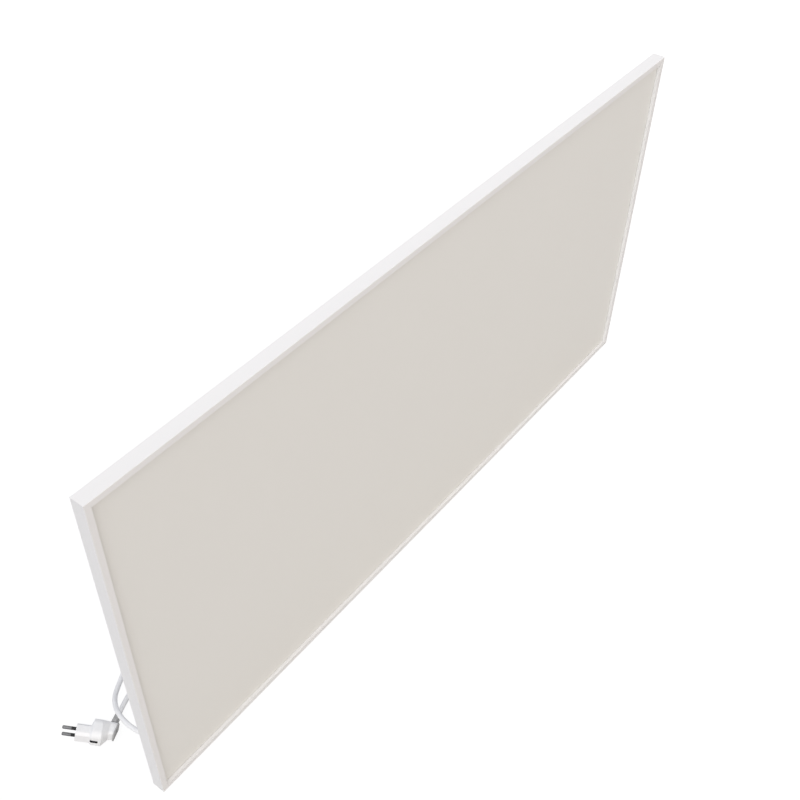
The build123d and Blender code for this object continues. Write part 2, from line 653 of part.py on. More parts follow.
with BuildPart() as terminal_block:
    with BuildSketch(depth_plane(BLOCK_FRONT)):
        with Locations((BLOCK_X, BOX_CENTRE_Z)):
            Rectangle(BLOCK_WIDTH, 3 * BLOCK_PITCH + 4.0)
    extrude(amount=-BLOCK_HEIGHT * 0.72)
    with BuildSketch(depth_plane(BLOCK_FRONT)):
        with Locations((BLOCK_X, BOX_CENTRE_Z)):
            with GridLocations(1, BLOCK_PITCH, 1, 3):
                Rectangle(BLOCK_WIDTH - 4.0, BLOCK_PITCH - 2.0)
    extrude(amount=-BLOCK_HEIGHT)
    with BuildSketch(depth_plane(BOX_FLOOR)):
        with Locations((BLOCK_X, BOX_CENTRE_Z)):
            Rectangle(BLOCK_WIDTH - 6.0, 3 * BLOCK_PITCH)
    extrude(amount=-(BLOCK_FRONT - BOX_FLOOR))
    with BuildSketch(gland_plane(BLOCK_X + BLOCK_WIDTH / 2)):
        with GridLocations(1, BLOCK_PITCH, 1, 3):
            Circle(INSERT_RADIUS + HOLE_CLEARANCE)
    extrude(amount=BLOCK_WIDTH, mode=Mode.SUBTRACT)
    with BuildSketch(depth_plane(BLOCK_FRONT + BLOCK_HEIGHT)):
        with Locations((BLOCK_X, BOX_CENTRE_Z)):
            with GridLocations(BLOCK_WIDTH / 2 - 1.0, BLOCK_PITCH, 2, 3):
                Circle(1.6 + HOLE_CLEARANCE)
    extrude(amount=BLOCK_HEIGHT / 2, mode=Mode.SUBTRACT)
save(terminal_block, "terminal_block")

with BuildPart() as terminal_inserts:
    with BuildSketch(gland_plane(BLOCK_X + BLOCK_WIDTH / 2)):
        with GridLocations(1, BLOCK_PITCH, 1, 3):
            Circle(INSERT_RADIUS)
            Circle(INSERT_BORE, mode=Mode.SUBTRACT)
    extrude(amount=BLOCK_WIDTH)
save(terminal_inserts, "terminal_inserts")

with BuildPart() as terminal_screws:
    with BuildSketch(depth_plane(GLAND_DEPTH + INSERT_RADIUS + HOLE_CLEARANCE)):
        with Locations((BLOCK_X, BOX_CENTRE_Z)):
            with GridLocations(BLOCK_WIDTH / 2 - 1.0, BLOCK_PITCH, 2, 3):
                Circle(1.6)
    extrude(amount=-(BLOCK_HEIGHT / 2 - INSERT_RADIUS - 1.0))
save(terminal_screws, "terminal_screws")

# The clamp bar presses the cord's sheath against two posts that rise from the box's floor.
clamp_front = GLAND_DEPTH + CORD_RADIUS + 0.1
with BuildPart() as cord_clamp:
    with BuildSketch(depth_plane(clamp_front)):
        with Locations((CLAMP_X, BOX_CENTRE_Z)):
            RectangleRounded(CLAMP_WIDTH, CLAMP_LENGTH, 2.0)
            with GridLocations(1, 2 * CLAMP_SCREW_OFFSET, 1, 2):
                Circle(SHANK_RADIUS + HOLE_CLEARANCE, mode=Mode.SUBTRACT)
    extrude(amount=-CLAMP_THICKNESS)
save(cord_clamp, "cord_clamp")

clamp_points = [(CLAMP_X, BOX_CENTRE_Z + way * CLAMP_SCREW_OFFSET) for way in (-1, 1)]
clamp_fixing = (clamp_front + CLAMP_THICKNESS, CLAMP_THICKNESS + 6.0, SHANK_RADIUS, 2.8, 1.2)
save(make_screws(clamp_points, *clamp_fixing), "clamp_screws")

with BuildPart() as clamp_saddle:
    with BuildSketch(depth_plane(BOX_FLOOR)):
        with Locations((CLAMP_X, BOX_CENTRE_Z)):
            Rectangle(CLAMP_WIDTH, CLAMP_LENGTH)
    extrude(amount=-(clamp_front - BOX_FLOOR))
    with BuildSketch(gland_plane(CLAMP_X + CLAMP_WIDTH / 2)):
        Circle(CORD_RADIUS + HOLE_CLEARANCE)
        with Locations((CORD_RADIUS, 0)):
            Rectangle(2 * CORD_RADIUS, 2 * (CORD_RADIUS + HOLE_CLEARANCE))
    extrude(amount=CLAMP_WIDTH, mode=Mode.SUBTRACT)
    with BuildSketch(depth_plane(clamp_front)):
        with Locations(*clamp_points):
            Circle(SHANK_RADIUS + HOLE_CLEARANCE)
    extrude(amount=8.0, mode=Mode.SUBTRACT)
save(clamp_saddle, "clamp_saddle")

# ---- Grommet, earth stud, nut and ring terminal ------------------------------------------------
with BuildPart() as cable_grommet:
    with BuildSketch(depth_plane(FIELD_FRONT - 1.0)):
        with Locations((GROMMET_X, GROMMET_Z)):
            Circle(GROMMET_RADIUS)
    extrude(amount=-1.0)
    with BuildSketch(depth_plane(FIELD_FRONT)):
        with Locations((GROMMET_X, GROMMET_Z)):
            Circle(GROMMET_RADIUS - 1.5 - HOLE_CLEARANCE)
    extrude(amount=-COVER_SHEET)
    with BuildSketch(depth_plane(FIELD_REAR)):
        with Locations((GROMMET_X, GROMMET_Z)):
            Circle(GROMMET_RADIUS)
    extrude(amount=-1.6)
    with BuildSketch(depth_plane(FIELD_FRONT - 1.0)):
        with Locations((GROMMET_X, GROMMET_Z)):
            Circle(GROMMET_BORE)
    extrude(amount=-10.0, mode=Mode.SUBTRACT)
save(cable_grommet, "cable_grommet")

ring_front = FIELD_REAR
ring_thickness = 0.8
with BuildPart() as earth_stud:
    with BuildSketch(depth_plane(FIELD_FRONT)):
        with Locations((GROMMET_X, STUD_Z)):
            Circle(STUD_RADIUS * 2)
    extrude(amount=0.9)
    with BuildSketch(depth_plane(FIELD_FRONT)):
        with Locations((GROMMET_X, STUD_Z)):
            Circle(STUD_RADIUS)
    extrude(amount=-STUD_LENGTH)
save(earth_stud, "earth_stud")

with BuildPart() as ring_terminal:
    with BuildSketch(depth_plane(ring_front)):
        with Locations((GROMMET_X, STUD_Z)):
            Circle(NUT_WIDTH / 2 + 0.6)
            with Locations((0, -7.0)):
                Rectangle(4.0, 8.0)
            Circle(STUD_RADIUS + HOLE_CLEARANCE, mode=Mode.SUBTRACT)
    extrude(amount=-ring_thickness)
    with BuildSketch(depth_plane(ring_front + ring_thickness)):
        with Locations((GROMMET_X, STUD_Z - 9.0)):
            Rectangle(4.0, 4.0)
    extrude(amount=-5.0)
save(ring_terminal, "ring_terminal")

with BuildPart() as earth_nut:
    with BuildSketch(depth_plane(ring_front + ring_thickness)):
        with Locations((GROMMET_X, STUD_Z)):
            RegularPolygon(NUT_WIDTH / 2, 6, major_radius=False)
            Circle(STUD_RADIUS + HOLE_CLEARANCE, mode=Mode.SUBTRACT)
    extrude(amount=-NUT_HEIGHT)
save(earth_nut, "earth_nut")

# ---- Cable gland -------------------------------------------------------------------------------
hex_end = BOX_LEFT - GLAND_HEX_LENGTH
neck_end = hex_end - GLAND_NECK_LENGTH
dome_end = hex_end - DOME_LENGTH
relief_tip = dome_end - RELIEF_LENGTH
thread_start = BOX_LEFT + BOX_WALL + GLAND_THREAD_LENGTH
with BuildPart() as gland_body:
    with BuildSketch(gland_plane(thread_start)):
        Circle(GLAND_THREAD_RADIUS)
    extrude(amount=thread_start - BOX_LEFT)
    with BuildSketch(gland_plane(BOX_LEFT)):
        RegularPolygon(GLAND_HEX / 2, 6, major_radius=False, rotation=30)
    extrude(amount=GLAND_HEX_LENGTH)
    with BuildSketch(gland_plane(hex_end)):
        Circle(GLAND_NECK_RADIUS)
    extrude(amount=GLAND_NECK_LENGTH)
    with BuildSketch(gland_plane(thread_start)):
        Circle(GLAND_BORE)
    extrude(amount=thread_start - neck_end, mode=Mode.SUBTRACT)
save(gland_body, "gland_body")

with BuildPart() as gland_locknut:
    with BuildSketch(gland_plane(BOX_LEFT + BOX_WALL + LOCKNUT_LENGTH)):
        RegularPolygon(LOCKNUT_HEX / 2, 6, major_radius=False, rotation=30)
        Circle(GLAND_THREAD_RADIUS + HOLE_CLEARANCE, mode=Mode.SUBTRACT)
    extrude(amount=LOCKNUT_LENGTH)
save(gland_locknut, "gland_locknut")

with BuildPart() as gland_seal:
    with BuildSketch(gland_plane(hex_end)):
        Circle(GLAND_BORE - HOLE_CLEARANCE)
        Circle(CORD_RADIUS + HOLE_CLEARANCE, mode=Mode.SUBTRACT)
    extrude(amount=GLAND_NECK_LENGTH)
save(gland_seal, "gland_seal")

with BuildPart() as gland_dome_nut:
    with BuildSketch(gland_plane(hex_end)):
        Circle(DOME_RADIUS)
    extrude(amount=DOME_LENGTH)
    fillet(gland_dome_nut.edges().filter_by(GeomType.CIRCLE).group_by(Axis.X)[0], 2.6)
    with BuildSketch(gland_plane(hex_end)):
        Circle(GLAND_NECK_RADIUS + HOLE_CLEARANCE)
    extrude(amount=GLAND_NECK_LENGTH + HOLE_CLEARANCE, mode=Mode.SUBTRACT)
    with BuildSketch(gland_plane(hex_end)):
        Circle(CORD_RADIUS + HOLE_CLEARANCE)
    extrude(amount=DOME_LENGTH, mode=Mode.SUBTRACT)
    with BuildSketch(gland_plane(hex_end)):
        with PolarLocations(DOME_RADIUS + 0.7, 8):
            Circle(1.3)
    extrude(amount=DOME_LENGTH - DOME_WALL - 3.0, mode=Mode.SUBTRACT)
save(gland_dome_nut, "gland_dome_nut")


def relief_outline(base_radius, tip_radius, length, inner):
    """Half the outline of a tapered bend relief with ring grooves, from its base at x = 0."""
    ring = length / (2 * RELIEF_RINGS + 1)
    points = [(0, inner), (0, base_radius)]
    for i in range(RELIEF_RINGS):
        land_end = (2 * i + 1) * ring
        groove_end = land_end + ring
        outer = base_radius + (tip_radius - base_radius) * land_end / length
        following = base_radius + (tip_radius - base_radius) * groove_end / length
        points += [(land_end, outer), (land_end, outer - RING_GROOVE)]
        points += [(groove_end, following - RING_GROOVE), (groove_end, following)]
    points += [(length, tip_radius), (length, inner)]
    return points


def make_relief(axis_plane, base_radius, tip_radius, length, inner):
    """A bend relief turned about its own axis, which is the plane's normal."""
    side = Plane(origin=axis_plane.origin, x_dir=axis_plane.z_dir, z_dir=axis_plane.x_dir)
    with BuildPart() as relief:
        with BuildSketch(side):
            with BuildLine():
                Polyline(*relief_outline(base_radius, tip_radius, length, inner), close=True)
            make_face()
        revolve(axis=Axis(axis_plane.origin, axis_plane.z_dir))
    return relief


gland_relief = (RELIEF_BASE_RADIUS, RELIEF_TIP_RADIUS, RELIEF_LENGTH, CORD_RADIUS + HOLE_CLEARANCE)
save(make_relief(gland_plane(dome_end), *gland_relief), "gland_bend_relief")

# The cord's held end, straight through the gland to the clamp, and its three cores.
sheath_end = CLAMP_X + CLAMP_WIDTH
with BuildPart() as cord_tail:
    with BuildSketch(gland_plane(sheath_end)):
        Circle(CORD_RADIUS)
    extrude(amount=sheath_end - relief_tip)
save(cord_tail, "cord_tail")


# ---- Tubes along straight runs and tangent arcs ------------------------------------------------
def bend_radii(points, share=0.45):
    """The largest neat arc at each corner of a route."""
    radii = []
    for before, corner, after in zip(points, points[1:], points[2:]):
        first = Vector(*corner) - Vector(*before)
        second = Vector(*after) - Vector(*corner)
        half_turn = radians(first.get_angle(second)) / 2
        radii.append(share * min(first.length, second.length) / tan(half_turn))
    return radii


def add_tube(points, radius, label):
    """One tube along a route, added to the part being built, with its length against its volume."""
    with BuildLine() as route:
        FilletPolyline(*points, radius=bend_radii(points))
    start = Vector(*points[0])
    with BuildSketch(Plane(origin=start, z_dir=Vector(*points[1]) - start)) as section:
        Circle(radius)
    sweep(section.sketch, path=route.wire())
    print(label, "length", round(route.wire().length, 1), "radii", [round(r) for r in bend_radii(points)])
    return route.wire().length


core_gap = INSERT_RADIUS + 0.1
block_left = BLOCK_X - BLOCK_WIDTH / 2
with BuildPart() as cord_cores:
    for way in (-1, 0, 1):
        start_z = BOX_CENTRE_Z + way * core_gap
        end_z = BOX_CENTRE_Z + way * BLOCK_PITCH
        run = block_left - sheath_end
        if way == 0:
            with BuildSketch(gland_plane(block_left)):
                Circle(WIRE_RADIUS - 0.1)
            extrude(amount=run)
        else:
            add_tube(
                [
                    (sheath_end, GLAND_Y, start_z),
                    (sheath_end + run * 0.3, GLAND_Y, start_z),
                    (sheath_end + run * 0.7, GLAND_Y, end_z),
                    (block_left, GLAND_Y, end_z),
                ],
                WIRE_RADIUS - 0.1,
                "core",
            )
save(cord_cores, "cord_cores")

# ---- Inner wires -------------------------------------------------------------------------------
wire_y = FRONT_Y + WIRE_DEPTH
block_right = BLOCK_X + BLOCK_WIDTH / 2
terminal_face_low = busbar_z[0] + TERMINAL_BARREL / 2
terminal_face_high = busbar_z[1] - TERMINAL_BARREL / 2
tab_reach = CUTOUT_RADIUS + CUTOUT_TAB
live_x = GROMMET_X + 2.2
neutral_x = GROMMET_X - NEUTRAL_OFFSET + 1.4
bend_z = GROMMET_Z
with BuildPart() as live_wire:
    add_tube(
        [
            (block_right, GLAND_Y, BOX_CENTRE_Z + BLOCK_PITCH),
            (block_right + 9.0, GLAND_Y, BOX_CENTRE_Z + BLOCK_PITCH),
            (live_x, GLAND_Y - 4.0, bend_z + 1.0),
            (live_x, FRONT_Y + FIELD_REAR - 3.5, bend_z + 1.0),
            (live_x - 1.0, wire_y, bend_z + 9.0),
            (GROMMET_X, wire_y, bend_z + 22.0),
            (GROMMET_X, wire_y, CUTOUT_HEIGHTS[0] - tab_reach),
        ],
        WIRE_RADIUS,
        "live_wire",
    )
    link_ends = (
        (CUTOUT_HEIGHTS[0] + tab_reach, CUTOUT_HEIGHTS[1] - tab_reach),
        (CUTOUT_HEIGHTS[1] + tab_reach, terminal_face_high),
    )
    for low_z, high_z in link_ends:
        with BuildSketch(Plane.XY.offset(low_z)):
            with Locations((GROMMET_X, wire_y)):
                Circle(WIRE_RADIUS)
        extrude(amount=high_z - low_z)
save(live_wire, "live_wire")

with BuildPart() as neutral_wire:
    add_tube(
        [
            (block_right, GLAND_Y, BOX_CENTRE_Z),
            (block_right + 8.0, GLAND_Y, BOX_CENTRE_Z),
            (neutral_x, GLAND_Y - 4.5, bend_z - 1.3),
            (neutral_x, FRONT_Y + FIELD_REAR - 3.5, bend_z - 1.3),
            (neutral_x - 0.6, wire_y, bend_z - 9.0),
            (GROMMET_X - NEUTRAL_OFFSET, wire_y, bend_z - 17.0),
            (GROMMET_X - NEUTRAL_OFFSET, wire_y, terminal_face_low),
        ],
        WIRE_RADIUS,
        "neutral_wire",
    )
save(neutral_wire, "neutral_wire")

with BuildPart() as earth_wire:
    earth_y = FRONT_Y + BOX_FLOOR + WIRE_RADIUS + 0.4
    add_tube(
        [
            (block_right, GLAND_Y, BOX_CENTRE_Z - BLOCK_PITCH),
            (block_right + 5.0, GLAND_Y, BOX_CENTRE_Z - BLOCK_PITCH),
            (block_right + 10.0, GLAND_Y - 4.0, BOX_CENTRE_Z - BLOCK_PITCH - 6.0),
            (block_right + 12.0, earth_y, STUD_Z - 9.0),
            (GROMMET_X - 2.0, earth_y, STUD_Z - 9.0),
        ],
        WIRE_RADIUS,
        "earth_wire",
    )
save(earth_wire, "earth_wire")

# ---- Thermal cut-outs and busbar terminals -----------------------------------------------------
with BuildPart() as thermal_cutouts:
    with BuildSketch(depth_plane(BOARD_FRONT)):
        with Locations(*cutout_points):
            Circle(CUTOUT_FLANGE_RADIUS)
    extrude(amount=-1.0)
    with BuildSketch(depth_plane(BOARD_FRONT)):
        with Locations(*cutout_points):
            Circle(CUTOUT_RADIUS)
    extrude(amount=-CUTOUT_HEIGHT)
    with BuildSketch(depth_plane(WIRE_DEPTH - 1.5)):
        with Locations(*cutout_points):
            Rectangle(3.0, 2 * tab_reach)
    extrude(amount=-3.0)
save(thermal_cutouts, "thermal_cutouts")

with BuildPart() as busbar_terminals:
    with BuildSketch(depth_plane(REAR_FILM_FRONT)):
        with Locations(*terminal_points):
            Rectangle(TERMINAL_WIDTH, TERMINAL_WIDTH)
    extrude(amount=-0.8)
    with BuildSketch(depth_plane(REAR_FILM_FRONT)):
        with Locations(*terminal_points):
            Rectangle(TERMINAL_BARREL, TERMINAL_BARREL)
    extrude(amount=-(WIRE_DEPTH + 2.0 - REAR_FILM_FRONT))
save(busbar_terminals, "busbar_terminals")

# ---- Plug, lying on the floor with one earth contact towards the room --------------------------
yaw = radians(PLUG_YAW)
pitch = radians(PLUG_PITCH)
lead_lean = radians(LEAD_LEAN)
collar_lean = radians(COLLAR_LEAN)
waist_lean = radians(WAIST_LEAN)
grip_lean = radians(GRIP_LEAN)
pin_way = Vector(-sin(yaw) * cos(pitch), cos(yaw) * cos(pitch), sin(pitch))
side_way = Vector(-cos(yaw), -sin(yaw), 0)  # across the pins, towards the room
pin_line = pin_way.cross(side_way)  # from pin to pin
lead_way = side_way * -cos(lead_lean) - pin_way * sin(lead_lean)  # the lead leaves this way


def plug_point(along, side, up):
    """A point of the plug: along its axis from the front face, across, and along the pin line."""
    return PLUG_FACE + pin_way * along + side_way * side + pin_line * up


def plug_plane(behind, lean=0.0):
    """A cross-section of the plug, this far behind its front face; its far side may lean back."""
    x_way = side_way * cos(lean) + pin_way * sin(lean)
    z_way = pin_way * cos(lean) - side_way * sin(lean)
    return Plane(origin=plug_point(-behind, 0, 0), x_dir=x_way, z_dir=z_way)


def plug_section(behind, near, far, half_height, corner, lean=0.0, cut=False):
    """A section that reaches near mm to the room and far mm to the cord, with round or cut corners."""
    with BuildSketch(plug_plane(behind, lean)) as section:
        with Locations(((near - far) / 2, 0)):
            Rectangle(near + far, 2 * half_height)
        if cut:
            chamfer(section.vertices(), corner)
        else:
            fillet(section.vertices(), corner)
    return section.sketch


block_size = (BLOCK_NEAR, BLOCK_FAR, BLOCK_HALF_HEIGHT, BLOCK_CHAMFER)
collar_size = (COLLAR_NEAR, COLLAR_FAR, COLLAR_HALF_HEIGHT, COLLAR_CORNER)
waist_size = (WAIST_NEAR, WAIST_FAR, WAIST_HALF_HEIGHT, WAIST_CORNER)
waist_end_size = (WAIST_END_NEAR, WAIST_FAR, WAIST_HALF_HEIGHT, WAIST_CORNER)
slot_length = EARTH_SLOT_END - EARTH_SLOT_START
slot_behind = (EARTH_SLOT_START + EARTH_SLOT_END) / 2
slot_sides = ((1, COLLAR_NEAR), (-1, COLLAR_FAR))
with BuildPart() as plug_front_shell:
    shell_sections = (
        plug_section(0, *block_size, cut=True),
        plug_section(BLOCK_LENGTH, *block_size, cut=True),
        plug_section(COLLAR_START, *collar_size),
        plug_section(COLLAR_END, *collar_size, lean=collar_lean),
    )
    for first, second in zip(shell_sections, shell_sections[1:]):
        loft([first, second], ruled=True)
    chamfer(plug_front_shell.faces().sort_by(Axis(PLUG_FACE, pin_way))[-1].edges(), FACE_EDGE_CHAMFER)
    with BuildSketch(plug_plane(0)):
        with Locations((0, PIN_SPACING / 2), (0, -PIN_SPACING / 2)):
            Circle(PIN_DIAMETER / 2 + HOLE_CLEARANCE / 2)
        Circle(EARTH_HOLE_RADIUS)
    extrude(amount=-PIN_ROOT, mode=Mode.SUBTRACT)
    for way, reach in slot_sides:
        slot_middle = plug_point(-slot_behind, way * (reach - EARTH_SLOT_DEPTH), 0)
        with BuildSketch(Plane(origin=slot_middle, x_dir=pin_way, z_dir=side_way * way)):
            Rectangle(slot_length, EARTH_SLOT_WIDTH)
        extrude(amount=8.0, mode=Mode.SUBTRACT)
save(plug_front_shell, "plug_front_shell")

with BuildPart() as plug_rear_shell:
    rear_sections = (
        plug_section(COLLAR_END, *collar_size, lean=collar_lean),
        plug_section(WAIST_START, *waist_size, lean=waist_lean),
        plug_section(WAIST_END, *waist_end_size, lean=grip_lean),
    )
    for first, second in zip(rear_sections, rear_sections[1:]):
        loft([first, second], ruled=True)
    with BuildSketch(plug_plane(WAIST_END, grip_lean)):
        with Locations(((GRIP_NEAR - GRIP_FAR) / 2, 0)):
            RectangleRounded(GRIP_NEAR + GRIP_FAR, 2 * GRIP_HALF_HEIGHT, GRIP_CORNER)
    extrude(amount=-GRIP_THICKNESS)
    seat_start = plug_point(-PLUG_RELIEF_X, 0, 0) + lead_way * (WAIST_FAR - PLUG_RELIEF_SEAT)
    relief_plane = Plane(origin=seat_start, x_dir=pin_line, z_dir=lead_way)
    with BuildSketch(relief_plane):
        Circle(PLUG_RELIEF_BASE + HOLE_CLEARANCE)
    extrude(amount=PLUG_RELIEF_SEAT + 8.0, mode=Mode.SUBTRACT)
save(plug_rear_shell, "plug_rear_shell")

plug_relief_size = (PLUG_RELIEF_BASE, PLUG_RELIEF_TIP, PLUG_RELIEF_LENGTH + PLUG_RELIEF_SEAT, 0.0)
save(make_relief(relief_plane, *plug_relief_size), "plug_bend_relief")

with BuildPart() as plug_pins:
    with BuildSketch(plug_plane(PIN_ROOT)):
        with Locations((0, PIN_SPACING / 2), (0, -PIN_SPACING / 2)):
            Circle(PIN_DIAMETER / 2)
    extrude(amount=PIN_ROOT + PIN_LENGTH)
    chamfer(plug_pins.faces().sort_by(Axis(PLUG_FACE, pin_way))[-2:].edges(), 1.2)
    with BuildSketch(plug_plane(0)):
        with Locations((0, PIN_SPACING / 2), (0, -PIN_SPACING / 2)):
            Circle(PIN_DIAMETER / 2 + 1.0)
            Circle(PIN_DIAMETER / 2 - PIN_SLEEVE_WALL, mode=Mode.SUBTRACT)
    extrude(amount=PIN_SLEEVE_LENGTH, mode=Mode.SUBTRACT)
save(plug_pins, "plug_pins")

with BuildPart() as pin_sleeves:
    with BuildSketch(plug_plane(0)):
        with Locations((0, PIN_SPACING / 2), (0, -PIN_SPACING / 2)):
            Circle(PIN_DIAMETER / 2)
            Circle(PIN_DIAMETER / 2 - PIN_SLEEVE_WALL, mode=Mode.SUBTRACT)
    extrude(amount=PIN_SLEEVE_LENGTH)
save(pin_sleeves, "pin_sleeves")

with BuildPart() as plug_earth_strips:
    for way, reach in slot_sides:
        strip_middle = plug_point(-slot_behind, way * (reach - EARTH_SLOT_DEPTH), 0)
        with BuildSketch(Plane(origin=strip_middle, x_dir=pin_way, z_dir=side_way * way)):
            Rectangle(slot_length - 1.0, EARTH_SLOT_WIDTH - 1.0)
        extrude(amount=EARTH_STRIP_THICKNESS)
save(plug_earth_strips, "plug_earth_strips")

with BuildPart() as plug_shell_screw:
    with BuildSketch(plug_plane(PIN_ROOT)):
        Circle(1.5)
    extrude(amount=PIN_ROOT - 1.0)
    with BuildSketch(plug_plane(2.6)):
        Circle(2.5)
    extrude(amount=1.6)
save(plug_shell_screw, "plug_shell_screw")

# ---- Free cord: gland to coil, coil, coil to plug ----------------------------------------------
coil_entry = (COIL_CENTRE_X - CORD_DIAMETER, COIL_CENTRE_Y + COIL_OUTER_RADIUS, COIL_LOW_Z)
coil_exit = (COIL_CENTRE_X - CORD_DIAMETER, COIL_CENTRE_Y - COIL_OUTER_RADIUS, COIL_HIGH_Z)
relief_end = seat_start + lead_way * (PLUG_RELIEF_LENGTH + PLUG_RELIEF_SEAT)


def beside(inset, y, z):
    """A point of a route, measured from the panel's left side."""
    return (LEFT_X + inset, y, z)


gland_route = [
    (relief_tip, GLAND_Y, BOX_CENTRE_Z),
    beside(59.0, GLAND_Y, BOX_CENTRE_Z),
    beside(39.5, 20.5, 51.0),
    beside(28.0, 39.5, 49.0),
    beside(26.5, 60.5, 46.5),
    beside(29.0, 80.0, 43.0),
    beside(35.0, 98.0, 37.0),
    beside(45.0, 115.5, 27.5),
    beside(58.5, 131.5, 16.0),
    beside(78.0, 145.0, 8.5),
    beside(97.5, 156.5, 5.7),
    beside(117.0, 169.0, 5.4),
    beside(137.0, 183.5, COIL_LOW_Z),
    beside(157.0, 197.5, COIL_LOW_Z),
    (COIL_CENTRE_X - COIL_LEAD_IN, COIL_CENTRE_Y + COIL_OUTER_RADIUS, COIL_LOW_Z),
    coil_entry,
]
plug_route = [
    tuple(relief_end),
    tuple(relief_end + lead_way * LEAD_START_RUN),
    beside(76.5, 119.6, 10.6),
    beside(99.0, 123.4, 6.8),
    beside(121.0, 122.5, 5.4),
    beside(143.0, 118.0, 5.6),
    beside(163.0, 113.5, 8.6),
    (COIL_CENTRE_X - COIL_LEAD_OUT, COIL_CENTRE_Y - COIL_OUTER_RADIUS, COIL_HIGH_Z),
    coil_exit,
]
with BuildPart() as cord_to_coil:
    length_to_coil = add_tube(gland_route, CORD_RADIUS, "cord_to_coil")
save(cord_to_coil, "cord_to_coil")
with BuildPart() as cord_to_plug:
    length_to_plug = add_tube(plug_route, CORD_RADIUS, "cord_to_plug")
save(cord_to_plug, "cord_to_plug")


def coil_ends():
    """Where each half turn of the coil ends: distance in front of or behind the centre, and height."""
    ends = [(COIL_OUTER_RADIUS, COIL_LOW_Z)]
    for i in range(1, HALF_TURNS + 1):
        dip = REVERSAL_DIP if i == HALF_TURNS else 0.0
        ends.append(((-1) ** i * (COIL_OUTER_RADIUS - i * TURN_PITCH / 2 - dip), COIL_LOW_Z))
    upper = [((-1) ** HALF_TURNS * -abs(y), COIL_HIGH_Z) for y, _ in reversed(ends)]
    for i, (y, height) in enumerate(upper):
        way = (-1) ** (HALF_TURNS + 1 + i)
        upper[i] = (way * abs(y), height)
    return ends + upper


coil_points = [Vector(COIL_CENTRE_X, COIL_CENTRE_Y + y, height) for y, height in coil_ends()]
with BuildPart() as cord_coil:
    with BuildLine() as turns:
        Line(coil_entry, coil_points[0])
        for i, (start, end) in enumerate(zip(coil_points, coil_points[1:])):
            reach = (end - start).length / 2
            side = 1 if i % 2 == 0 else -1
            ThreePointArc(start, (start + end) / 2 + Vector(side * reach, 0, 0), end)
        Line(coil_points[-1], coil_exit)
    with BuildSketch(Plane(origin=coil_entry, z_dir=(1, 0, 0))):
        Circle(CORD_RADIUS)
    sweep(path=turns.wire())
save(cord_coil, "cord_coil")

coil_length = turns.wire().length
samples = [turns.wire() @ (i / 900) for i in range(901)]
spacing = coil_length / 900
apart = int(3 * CORD_DIAMETER / spacing)
least = min(
    (samples[i] - samples[j]).length
    for i in range(len(samples))
    for j in range(i + apart, len(samples))
)
print("coil least gap to itself", round(least - CORD_DIAMETER, 2))
for name, piece, length in (
    ("cord_to_coil", cord_to_coil, length_to_coil),
    ("cord_to_plug", cord_to_plug, length_to_plug),
    ("cord_coil", cord_coil, coil_length),
):
    share = piece.part.volume / (pi * CORD_RADIUS**2 * length)
    print(name, "volume against section times length", round(share, 4))
held_length = sheath_end - relief_tip
print("free cord length", round(length_to_coil + length_to_plug + coil_length), "held", round(held_length))

# A flat strap round the three turns of both layers on the coil's right side.
inner_turn = COIL_OUTER_RADIUS - 2.25 * TURN_PITCH - REVERSAL_DIP / 2
outer_turn = COIL_OUTER_RADIUS - TURN_PITCH / 4
tie_middle_x = COIL_CENTRE_X + (inner_turn + outer_turn) / 2
tie_width = outer_turn - inner_turn + CORD_DIAMETER + 2 * TIE_CLEARANCE
tie_height = LAYER_RISE + CORD_DIAMETER + 2 * TIE_CLEARANCE
with BuildPart() as coil_tie:
    tie_plane = Plane(
        origin=(tie_middle_x, COIL_CENTRE_Y, (COIL_LOW_Z + COIL_HIGH_Z) / 2),
        x_dir=(1, 0, 0),
        z_dir=(0, -1, 0),
    )
    with BuildSketch(tie_plane):
        RectangleRounded(tie_width + 2 * TIE_WALL, tie_height + 2 * TIE_WALL, CORD_RADIUS + TIE_WALL)
        with Locations((tie_width / 2 + 2.0, 0)):
            Rectangle(5.0, 5.0)
        RectangleRounded(tie_width, tie_height, CORD_RADIUS, mode=Mode.SUBTRACT)
    extrude(amount=TIE_WIDTH / 2, both=True)
save(coil_tie, "coil_tie")
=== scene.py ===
# %% [markdown]
# # An infrared panel heater, dressed for its photograph
#
# The heater is a slim white panel that stands on its long lower edge. A mitred frame of white
# extrusions holds a smooth plate that sits a few millimetres back. Behind it are four hanger
# brackets and a terminal box, and a round white cord runs from the box to an earthed plug.
#
# The solids come from the CAD model and stay where they are. This script gives them finishes, and
# models again the pieces whose rounding, ribs and recesses a plain solid leaves out.

# %% Load the fixed frame
from math import atan2, cos, pi, radians, sin

import bmesh
import bpy
from mathutils import Matrix, Vector


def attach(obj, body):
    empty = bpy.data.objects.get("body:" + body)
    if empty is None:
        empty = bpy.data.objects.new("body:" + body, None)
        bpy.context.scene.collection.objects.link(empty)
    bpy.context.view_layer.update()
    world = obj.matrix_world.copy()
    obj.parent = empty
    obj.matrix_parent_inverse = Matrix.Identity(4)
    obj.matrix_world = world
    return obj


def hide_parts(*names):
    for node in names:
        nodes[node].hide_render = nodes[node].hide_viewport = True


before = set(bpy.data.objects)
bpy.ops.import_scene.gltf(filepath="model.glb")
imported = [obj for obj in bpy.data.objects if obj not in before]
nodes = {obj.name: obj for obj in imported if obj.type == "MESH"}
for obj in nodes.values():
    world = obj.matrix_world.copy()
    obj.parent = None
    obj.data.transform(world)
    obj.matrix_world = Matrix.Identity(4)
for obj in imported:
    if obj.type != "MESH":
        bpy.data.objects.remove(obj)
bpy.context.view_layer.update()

MM = 0.001
print("solids in the frame:", len(nodes))


def link(thing):
    """Puts an object into the scene."""
    bpy.context.scene.collection.objects.link(thing)


